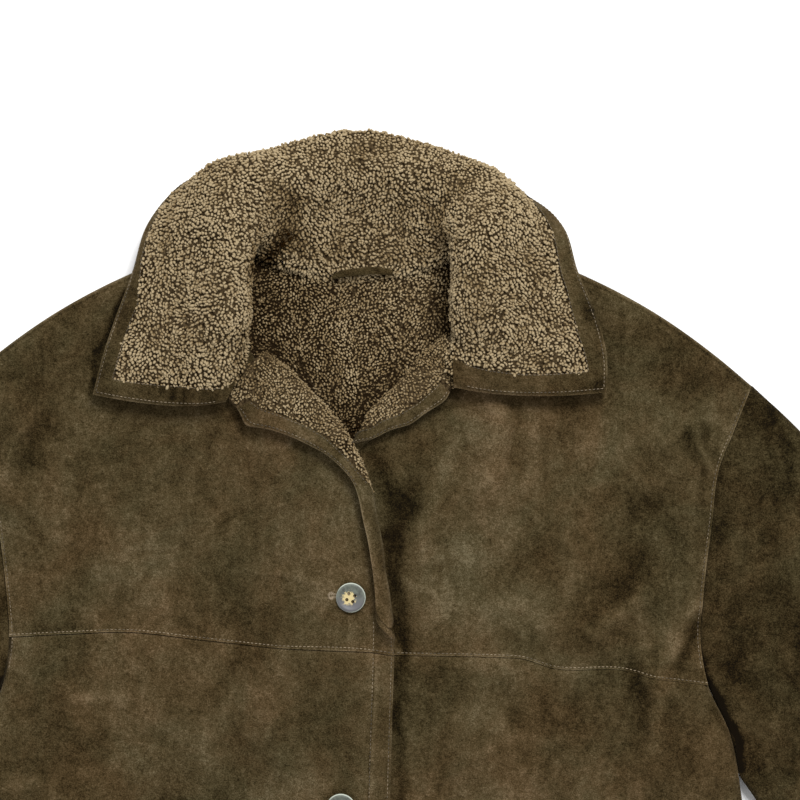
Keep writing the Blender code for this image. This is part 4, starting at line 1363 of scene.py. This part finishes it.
# Painted shade on the collar's wool: beside its folds, and where it stands up from the neck. Then painted
# light on its paler places.
COLLAR_PAINTED_SHADE = (
    (-50, 440, 54, 440, 26, 0, 0.07),
    (-84, 463, -50, 444, 9, 0, 0.16),
    (-50, 444, -62, 415, 10, 0, 0.22),
    (98, 470, 78, 446, 8, 0, 0.14),
    (76, 440, 72, 410, 9, 0, 0.20),
    (-60, 405, 60, 402, 16, 0, 0.16),
    (-100, 300, -104, 280, 6, 0, 0.10),
    (-62, 414, -76, 394, 9, 0, 0.40),
    (-70, 402, -80, 386, 8, 0, 0.26),
)
COLLAR_PAINTED_LIGHT = (
    (-104, 480, -60, 462, 9, 0, 0.10),
    (-70, 396, -36, 387, 5, 0, 0.14),
    (-36, 387, 40, 387, 5, 0, 0.12),
    (40, 387, 72, 397, 5, 0, 0.14),
    (-100, 350, -98, 430, 12, 0, 0.06),
    (112, 466, 92, 440, 8, 0, 0.10),
)


def collar_light_and_shade(x, y):
    """How much darker the collar's wool is at each place: its painted shade less its painted light."""
    return bumps(x, y, COLLAR_PAINTED_SHADE, TONE) - bumps(x, y, COLLAR_PAINTED_LIGHT, TONE)


bare_collar = (~on_strip).astype(float)
row_ends = np.linspace(0, 1, len(stations))
row_share = (row_ends[:-1] + row_ends[1:]) / 2
neck_edge = collar_wool[:, 0]
inward = unit((collar_middle[:, 0] - collar_middle[:, 1]) * (1, 1, 0))
neck_foot = neck_edge + inward * SEAM_OUT
neck_foot[:, 2] = np.where(neck_edge[:, 1] < SEAM_ON_BACK_FROM, neck_edge[:, 2] - SEAM_DOWN, SEAM_ON_BACK)
seam_middle = neck_edge + inward * SEAM_MIDDLE_OUT - SEAM_MIDDLE_DOWN
seam_grid = np.stack([neck_edge, seam_middle, neck_foot], axis=1)
seamed = neck_edge[:-1, 1:2] > SEAM_WOOL_FROM
seam_facing = np.repeat(unit(inward + SEAM_TILT)[:, None], 3, axis=1)
for number, (start, end) in enumerate(STRETCHES, start=1):
    mine = ((row_share >= start) & (row_share < end))[:, None]
    on_seam = np.repeat(mine * seamed, 2, axis=1)
    grown(f"collar_fleece_{number}",
          [(collar_wool, collar_facing, bare_collar * mine), (seam_grid, seam_facing, on_seam)],
          COLLAR_SPACING, COLLAR_LOCK, collar_light_and_shade)

# The lapels' wool is clipped closer and darker all over, with painted shade where the collar's
# leaves stand over it
LAPEL_SPACING = 1.75
LAPEL_LOCK = 0.80
LAPEL_DARK = 0.18
LEAF_PAINTED_SHADE = 0.14
LEAF_END = 318
LEAF_REACH = 22
LAPEL_FLAT = (-4, -8)


def lapel_darkening(x, y):
    """How much darker the lapels' wool is: some all over, and most beside the collar's leaves, where the
    shade is painted.
    """
    return LAPEL_DARK + LEAF_PAINTED_SHADE * np.exp(-((y - LEAF_END) / LEAF_REACH) ** 2)


# Each lapel's wool is made to face up at one place where the lapel lies flat
for side, lapel in lapels.items():
    lapel_facing = facing_of(lapel["wool"])
    lapel_facing *= np.sign(lapel_facing[LAPEL_FLAT][2])
    grown(f"lapel_fleece_{side}", [(lapel["wool"], lapel_facing, lapel["cover"])],
          LAPEL_SPACING, LAPEL_LOCK, lapel_darkening)

# The back's wool as the open neck shows it, on squares between the lapels and below the back neck:
# how the squares lie, and how the neck's outline widens upwards
NECK_SPACING = 1.85
NECK_LOCK = 0.84
NECK_FOOT = 205.0
NECK_TOP = 400.0
NECK_SIDE = 112.0
NECK_SQUARE = 4.0
NECK_MIDDLE = -4
NECK_FOOT_HALF = 20
NECK_WIDENING = 0.9
NECK_HALF = 106
NECK_BACK = 389
NECK_BACK_CURVE = 0.0032
neck_rows = np.arange(NECK_FOOT, NECK_TOP, NECK_SQUARE)
neck_columns = np.arange(-NECK_SIDE, NECK_SIDE + 1, NECK_SQUARE)
neck = np.stack(np.meshgrid(neck_columns, neck_rows), axis=2)
neck = with_height(neck, np.full(neck.shape[:2], WALL))
neck_facing = np.zeros_like(neck)
neck_facing[..., 2] = 1
x, y = neck[:-1, :-1, 0] + NECK_SQUARE / 2, neck[:-1, :-1, 1] + NECK_SQUARE / 2
below_back = y < NECK_BACK + NECK_BACK_CURVE * x * x
between_lapels = np.abs(x - NECK_MIDDLE) < NECK_FOOT_HALF + NECK_WIDENING * (y - NECK_FOOT)
inside_neck = below_back & between_lapels & (np.abs(x) < NECK_HALF)
grown("neck_fleece", [(neck, neck_facing, inside_neck.astype(float))], NECK_SPACING, NECK_LOCK, neck_shade)

# Hanger loop: a short strap of bare hide, sewn in at the back neck with its ends under the curls.
# It is narrower and lower at its ends and domed across, with the painted shade of a crease beside each of
# its two edges.
LOOP = ((-19, 380.8), (-9, 383.6), (4, 385.2), (18, 386.0), (31.5, 384.6))
LOOP_WIDTH = 6.2
LOOP_NARROWING = 0.35
LOOP_HEIGHT = 17.0
LOOP_END_DROP = 2.2
LOOP_DOME = 12.0
LOOP_DARK = 0.16
LOOP_EDGE_PALE = 0.10
LOOP_CREASE_SHADE = 0.10
LOOP_CREASE = 0.3
LOOP_CREASE_WIDTH = 0.07
LOOP_ROWS = 25
LOOP_COLUMNS = 9
loop_across = np.linspace(-0.5, 0.5, LOOP_COLUMNS)
loop_along = np.linspace(-1, 1, LOOP_ROWS)[:, None]
loop_plan = np.repeat(curve(LOOP, LOOP_ROWS)[:, None], LOOP_COLUMNS, axis=1)
loop_plan[..., 1] += loop_across * LOOP_WIDTH * (1 - LOOP_NARROWING * np.abs(loop_along) ** 5)
loop_top = LOOP_HEIGHT - LOOP_END_DROP * np.abs(loop_along) ** 3 - LOOP_DOME * loop_across ** 4
loop_crease = np.exp(-((np.abs(loop_across) - LOOP_CREASE) / LOOP_CREASE_WIDTH) ** 2)
loop_tone = -LOOP_DARK + LOOP_EDGE_PALE * np.abs(loop_across) - LOOP_CREASE_SHADE * loop_crease
wall("hanger_loop", with_height(loop_plan, loop_top + STRIP_WALL / 2),
     with_height(loop_plan, loop_top - STRIP_WALL / 2), np.broadcast_to(loop_tone, loop_top.shape),
     (strip_hide, strip_hide))

# Topstitching: a lockstitch of tan thread along the yoke seams, the armholes, the front edges and
# their bands, the hem, the cuffs, and both sides of the strips on the lapels and the collar.
THREAD = (0.300, 0.230, 0.145)
SOILED = 0.22
THREAD_TONES = ((0.30, tuple(SOILED * part for part in THREAD)), (0.66, THREAD))
THREAD_PATTERN = (90.0, 4.0, 0.7)
THREAD_TWIST = 900.0
THREAD_SURFACE = {"Roughness": 0.75}
THREAD_RELIEF = (0.5, 0.0002)
STITCH_SIDES = 5
STITCH_RINGS = 4
STITCH_PITCH = 3.4
STITCH_LENGTH = 2.5
STITCH_THICK = 0.36
STITCH_SINK = 0.05
STITCH_LENGTHS = (0.85, 1.08)
STITCH_TURN = 0.05
SOIL = 0.22
SOIL_SCALE = 0.035
SOIL_SCATTER = 0.05
STEP_ALONG = 0.005
DROP_FROM = 1.0
UP = np.array((0, 0, 1.0))
DOWN = Vector((0, 0, -1))


def thread_finish():
    """Tan sewing thread, a little worn and soiled."""
    material, tree, shader, place = fresh("thread")
    soiled = amount(tree, "ADD", blotches(tree, place, *THREAD_PATTERN), attribute(tree, "tone"))
    twist = put(tree, "TexWave", {"bands_direction": "DIAGONAL"}, Vector=place, Scale=THREAD_TWIST)
    dress(tree, shader, ramp(tree, soiled, THREAD_TONES), THREAD_SURFACE, THREAD_RELIEF, twist)
    return material


thread = thread_finish()
bm = bmesh.new()
bmesh.ops.create_uvsphere(bm, u_segments=STITCH_SIDES, v_segments=STITCH_RINGS, radius=1)
bmesh.ops.triangulate(bm, faces=bm.faces)
bmesh.ops.rotate(bm, verts=bm.verts, matrix=Matrix.Rotation(math.pi / 2, 3, "Y"))
bmesh.ops.scale(bm, verts=bm.verts, vec=(STITCH_LENGTH / 2, STITCH_THICK, STITCH_THICK))
stitch_places = np.array([vert.co[:] for vert in bm.verts])
stitch_faces = np.array([[vert.index for vert in face.verts] for face in bm.faces])
bm.free()


def sewn(name, lines, pieces, tone):
    """Stitches along lines of places on the skin; the flat lines are dropped on to the pieces."""
    trees = [BVHTree.FromPolygons([vert.co[:] for vert in piece.data.vertices],
                                  [face.vertices[:] for face in piece.data.polygons]) for piece in pieces]
    verts, faces, tones = [], [], []
    start = 0
    for line in lines:
        line = np.array(line, float)
        whole = length_of(line)[-1]
        for along in np.arange(min(STITCH_PITCH, whole) / 2, whole, STITCH_PITCH):
            share = along / whole
            place, before, after = spread(line, [share, share - STEP_ALONG, share + STEP_ALONG])
            ahead = after - before
            up = UP
            if len(place) == 2:
                hits = [tree.ray_cast(Vector((*place * MM, DROP_FROM)), DOWN) for tree in trees]
                hits = [hit for hit in hits if hit[0] is not None]
                if not hits:
                    continue
                found, facing_up = max(hits, key=lambda hit: hit[0].z)[:2]
                place = np.array(found) / MM
                up = np.array(facing_up)
                ahead = np.append(ahead, 0)
            ahead = unit(ahead - up * (ahead @ up))
            turn = random.normal(0, STITCH_TURN)
            ahead = unit(ahead + turn * np.cross(up, ahead))
            axes = np.stack([ahead, np.cross(up, ahead), up])
            long = random.uniform(*STITCH_LENGTHS)
            verts.append(stitch_places * (long, 1, 1) @ axes + place + up * STITCH_SINK)
            faces.append(stitch_faces + start)
            soil = SOIL * noise.noise(Vector(place) * SOIL_SCALE)
            tones.append(np.full(len(stitch_places), tone + soil + random.normal(0, SOIL_SCATTER)))
            start += len(stitch_places)
    piece = joined(name, np.concatenate(verts), np.concatenate(faces),
                   {"tone": np.concatenate(tones)}, thread)


def inset_line(line, distance, start=0.0, end=1.0):
    """A line moved sideways by a distance, to its left where positive, between two shares of it."""
    line = spread(np.array(line, float), np.linspace(start, end, LINE_POINTS))
    ahead = unit(np.gradient(line, axis=0))
    return line + distance * np.stack([-ahead[:, 1], ahead[:, 0]], axis=1)


# Rows of stitches beside the seams and edges, and how much darker or paler each row's thread is
YOKE_CORNER = (33, 63)
YOKE_STITCH = 1.9
YOKE_THREAD = 0.0
sewn("yoke_stitches", [
    inset_line(curve(YOKE_OVER + (YOKE_CORNER,)), YOKE_STITCH),
    inset_line(curve(YOKE_UNDER[:-1]), -YOKE_STITCH),
], body, YOKE_THREAD)

# Two short rows carry the front band's stitches up past the yoke seam
EDGE_STITCH = 2.3
EDGE_START = 0.02
HEM_END = 0.98
BAND_ROW_ABOVE = ((15.5, 68), (15.7, 93))
EDGE_ROW_ABOVE = ((30.6, 66), (30.4, 82))
FRONT_THREAD = -0.04
sewn("front_stitches", [
    inset_line(curve(EDGE_OVER), EDGE_STITCH, EDGE_START),
    inset_line(curve(EDGE_OVER), BAND_WIDTH, EDGE_START),
    BAND_ROW_ABOVE,
    EDGE_ROW_ABOVE,
    inset_line(half_hem, HEM_WIDTH, end=HEM_END),
    inset_line(mirrored(half_hem), -HEM_WIDTH, end=HEM_END),
], body, FRONT_THREAD)
ARMHOLE_STITCH = 2.2
ARMHOLE_THREAD = -0.10
SEWN_SHARES = (0.03, 0.97)
sewn("armhole_stitches", [
    inset_line(armhole_seam[1:], ARMHOLE_STITCH, *SEWN_SHARES),
    inset_line(mirrored(armhole_seam[1:]), -ARMHOLE_STITCH, *SEWN_SHARES),
], body, ARMHOLE_THREAD)
CUFF_THREAD = 0.0
sewn("cuff_stitches", [
    inset_line(curve(CUFF), HEM_WIDTH, *SEWN_SHARES),
    inset_line(mirrored(curve(CUFF)), -HEM_WIDTH, *SEWN_SHARES),
], sleeve_fronts, CUFF_THREAD)

# The strips' stitches follow the strips' own grids, on the lapels from some way up
LAPEL_SEWN_FROM = 205.0
LAPEL_SEWN_COLUMNS = (1, -4)
LAPEL_RISE = (0, 0, 0.1)
LAPEL_THREAD = -0.16
strip_lines = []
for lapel in lapels.values():
    for column in LAPEL_SEWN_COLUMNS:
        line = lapel["strip"][:, column] + LAPEL_RISE
        strip_lines.append(line[line[:, 1] > LAPEL_SEWN_FROM])
sewn("lapel_stitches", strip_lines, [], LAPEL_THREAD)
COLLAR_SEWN_FROM = 4
for name, column, tone in (("outer", -4, -0.06), ("inner", -8, -0.12)):
    ends = slice(COLLAR_SEWN_FROM, column + 1)
    sewn(f"collar_stitches_{name}", [
        collar_strip_high[-column - 1:column + 1, column],
        collar_strip_high[-column - 1, ends],
        collar_strip_high[column, ends],
    ], [], tone)

# Horn buttons, turned from a slab and drilled with four holes, with a pale heart and a polished
# rim. Each goes through a horizontal buttonhole whose outer end shows beside it.
BUTTON_HOLE_RADIUS = 1.4
BUTTON_HOLE_PITCH = 2.6
BUTTON_PROFILE = ((0, 3.0), (7.0, 2.9), (8.6, 3.2), (9.8, 3.8), (10.9, 4.0), (12.0, 3.7), (12.7, 2.9),
                  (12.8, 2.2), (12.0, 0.8), (11.0, 0.0), (0, 0))
BUTTON_TRIM = 0.975
BUTTON_STEPS = 48
BUTTON_SHARP = 40
BUTTON_TURNS = (-0.32, 0.5, 1.1, 0.15)
DRILL_SIDES = 16
DRILL_LENGTH = 12

# Tones of the horn, then where each shows, in metres from the button's middle: the cream heart lies
# aside, with uneven rays, the lower side is violet, the polished rim carries a painted highlight
# that is weaker on one side, and the holes are painted dark inside as shade
HORN_GREY = (0.112, 0.124, 0.100)
HORN_VIOLET = (0.092, 0.090, 0.094)
HORN_DARK = (0.046, 0.046, 0.042)
HORN_CREAM = (0.500, 0.400, 0.190)
HORN_HOLE_SHADE = (0.012, 0.009, 0.006)
HORN_RIM_HIGHLIGHT = (0.480, 0.520, 0.440)
HEART_ASIDE = (0.0016, 0.0004, 0.0)
HEART_RAYS = (420.0, 4.0, 0.7, 0.4)
HEART_UNEVEN = -0.0150
HEART_RANGE = (-0.0034, -0.0014)
HORN_VEINS = (160.0, 5.0, 0.6, 1.0)
VEIN_TONES = ((0.35, HORN_DARK), (0.62, HORN_GREY))
VIOLET_RANGE = (0.003, -0.006)
RIM_RANGE = (0.0115, 0.0120)
RIM_HIGHLIGHT_SIDE = (0.93, 0.37, 0.0)
RIM_HIGHLIGHT_SIDE_RANGE = (-0.009, -0.003, 0.25, 1.0)
HOLE_DEPTH_RANGE = (0.0027, 0.0021)
HOLE_REACH_RANGE = (0.0066, 0.0060)
HORN_SURFACE = {"Roughness": 0.5, "Specular IOR Level": 0.4}
HORN_RELIEF = (0.2, 0.0003)


def place_math(tree, kind, output, first, second=(1, 1, 0)):
    """A place or a number worked out from two places. As it stands the second one flattens the first."""
    return put(tree, "VectorMath", {"operation": kind}, _0=first, _1=second).node.outputs[output]


def horn_finish(number, centre, foot):
    """Polished horn of one button: grey, with an uneven cream heart."""
    material, tree, shader, place = fresh(f"horn_{number}")
    middle = put(tree, "Mapping", Vector=place, Location=tuple(-part * MM for part in (*centre, foot)))
    across = put(tree, "SeparateXYZ", Vector=middle).node.outputs
    heart_place = place_math(tree, "ADD", "Vector", middle, HEART_ASIDE)
    from_heart = place_math(tree, "LENGTH", "Value", place_math(tree, "MULTIPLY", "Vector", heart_place))
    radius = place_math(tree, "LENGTH", "Value", place_math(tree, "MULTIPLY", "Vector", middle))
    rays = blotches(tree, middle, *HEART_RAYS)
    heart = between(tree, amount(tree, "MULTIPLY_ADD", rays, HEART_UNEVEN, from_heart), *HEART_RANGE)
    veins = blotches(tree, middle, *HORN_VEINS)
    violet = between(tree, across["Y"], *VIOLET_RANGE)
    grey = blend(tree, violet, ramp(tree, veins, VEIN_TONES), (*HORN_VIOLET, 1))
    colour = blend(tree, heart, (*HORN_CREAM, 1), grey)
    # Painted highlight on the polished rim, weaker on one side
    worn = between(tree, place_math(tree, "DOT_PRODUCT", "Value", middle, RIM_HIGHLIGHT_SIDE), *RIM_HIGHLIGHT_SIDE_RANGE)
    rim = amount(tree, "MULTIPLY", between(tree, radius, *RIM_RANGE), worn)
    colour = blend(tree, rim, colour, (*HORN_RIM_HIGHLIGHT, 1))
    # Painted shade deep in the holes
    deep = between(tree, across["Z"], *HOLE_DEPTH_RANGE)
    hole_shade = amount(tree, "MULTIPLY", deep, between(tree, radius, *HOLE_REACH_RANGE))
    colour = blend(tree, hole_shade, colour, (*HORN_HOLE_SHADE, 1))
    dress(tree, shader, colour, HORN_SURFACE, HORN_RELIEF, veins)
    return material


for number, (x, y) in enumerate(BUTTONS, start=1):
    under_button = [over_lift(np.array(x + aside * BUTTON_RADIUS), np.array(y)) for aside in (-1, 0, 1)]
    rest = float(max(under_button)) + WALL + 2 * GAP
    bm = bmesh.new()
    points = [bm.verts.new((radius, 0, height)) for radius, height in BUTTON_PROFILE]
    for start, end in zip(points, points[1:]):
        bm.edges.new((start, end))
    bmesh.ops.spin(bm, geom=bm.verts[:] + bm.edges[:], axis=(0, 0, 1), cent=(0, 0, 0), steps=BUTTON_STEPS,
                   angle=2 * math.pi, use_merge=True)
    bmesh.ops.remove_doubles(bm, verts=bm.verts, dist=0.001)
    bmesh.ops.recalc_face_normals(bm, faces=bm.faces)
    bmesh.ops.scale(bm, verts=bm.verts, vec=(BUTTON_TRIM * MM, BUTTON_TRIM * MM, MM))
    bmesh.ops.translate(bm, verts=bm.verts, vec=(x * MM, y * MM, rest * MM))
    mesh = bpy.data.meshes.new(f"button_{number}_horn")
    bm.to_mesh(mesh)
    bm.free()
    bm = bmesh.new()
    for column in (-BUTTON_HOLE_PITCH, BUTTON_HOLE_PITCH):
        for row in (-BUTTON_HOLE_PITCH, BUTTON_HOLE_PITCH):
            made = bmesh.ops.create_cone(bm, cap_ends=True, segments=DRILL_SIDES, depth=DRILL_LENGTH * MM,
                                         radius1=BUTTON_HOLE_RADIUS * MM, radius2=BUTTON_HOLE_RADIUS * MM)
            bmesh.ops.translate(bm, verts=made["verts"], vec=(column * MM, row * MM, rest * MM))
    bmesh.ops.rotate(bm, verts=bm.verts, matrix=Matrix.Rotation(BUTTON_TURNS[number - 1], 3, "Z"))
    bmesh.ops.translate(bm, verts=bm.verts, vec=(x * MM, y * MM, 0))
    drill_mesh = bpy.data.meshes.new("drill")
    bm.to_mesh(drill_mesh)
    bm.free()
    button = bpy.data.objects.new(f"button_{number}_horn", mesh)
    drill = bpy.data.objects.new("drill", drill_mesh)
    for item in (button, drill):
        bpy.context.scene.collection.objects.link(item)
    holes = button.modifiers.new("holes", "BOOLEAN")
    holes.operation = "DIFFERENCE"
    holes.solver = "EXACT"
    holes.object = drill
    bpy.context.view_layer.update()
    drilled = bpy.data.meshes.new_from_object(button.evaluated_get(bpy.context.evaluated_depsgraph_get()))
    button.modifiers.clear()
    button.data = drilled
    bpy.data.objects.remove(drill, do_unlink=True)
    drilled.shade_smooth()
    drilled.set_sharp_from_angle(angle=math.radians(BUTTON_SHARP))
    drilled.materials.clear()
    drilled.materials.append(horn_finish(number, (x, y), rest))
    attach(button, "root")
    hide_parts(f"button_{number}")

# Buttonholes: each is a slit in the over front, worked over with the same thread in close stitches
# along both sides and in rays round its outer eye. Only the outer end shows beside the button.
HOLE_LENGTH = 20.0
HOLE_OUT = 16.4
HOLE_UP = 1.6
HOLE_HALF = 0.35
HOLE_STITCH = 0.8
HOLE_REACH = 0.52 * STITCH_PITCH
EYE_INNER = 0.9
EYE_OUTER = 3.2
EYE_HIGH = 1.25
EYE_RAYS = np.linspace(0.3 * math.pi, 1.7 * math.pi, 15)
HOLE_THREAD = 0.06
hole_lines = []
for x, y in BUTTONS:
    end = np.array((x - HOLE_OUT, y + HOLE_UP))
    for across in (-1, 1):
        for along in np.arange(0, HOLE_LENGTH, HOLE_STITCH):
            foot = end + (along, across * HOLE_HALF)
            hole_lines.append((foot, foot + (0, across * HOLE_REACH)))
    for angle in EYE_RAYS:
        ray = np.array((math.cos(angle), EYE_HIGH * math.sin(angle)))
        hole_lines.append((end + EYE_INNER * ray, end + EYE_OUTER * ray))
sewn("buttonholes", hole_lines, body, HOLE_THREAD)
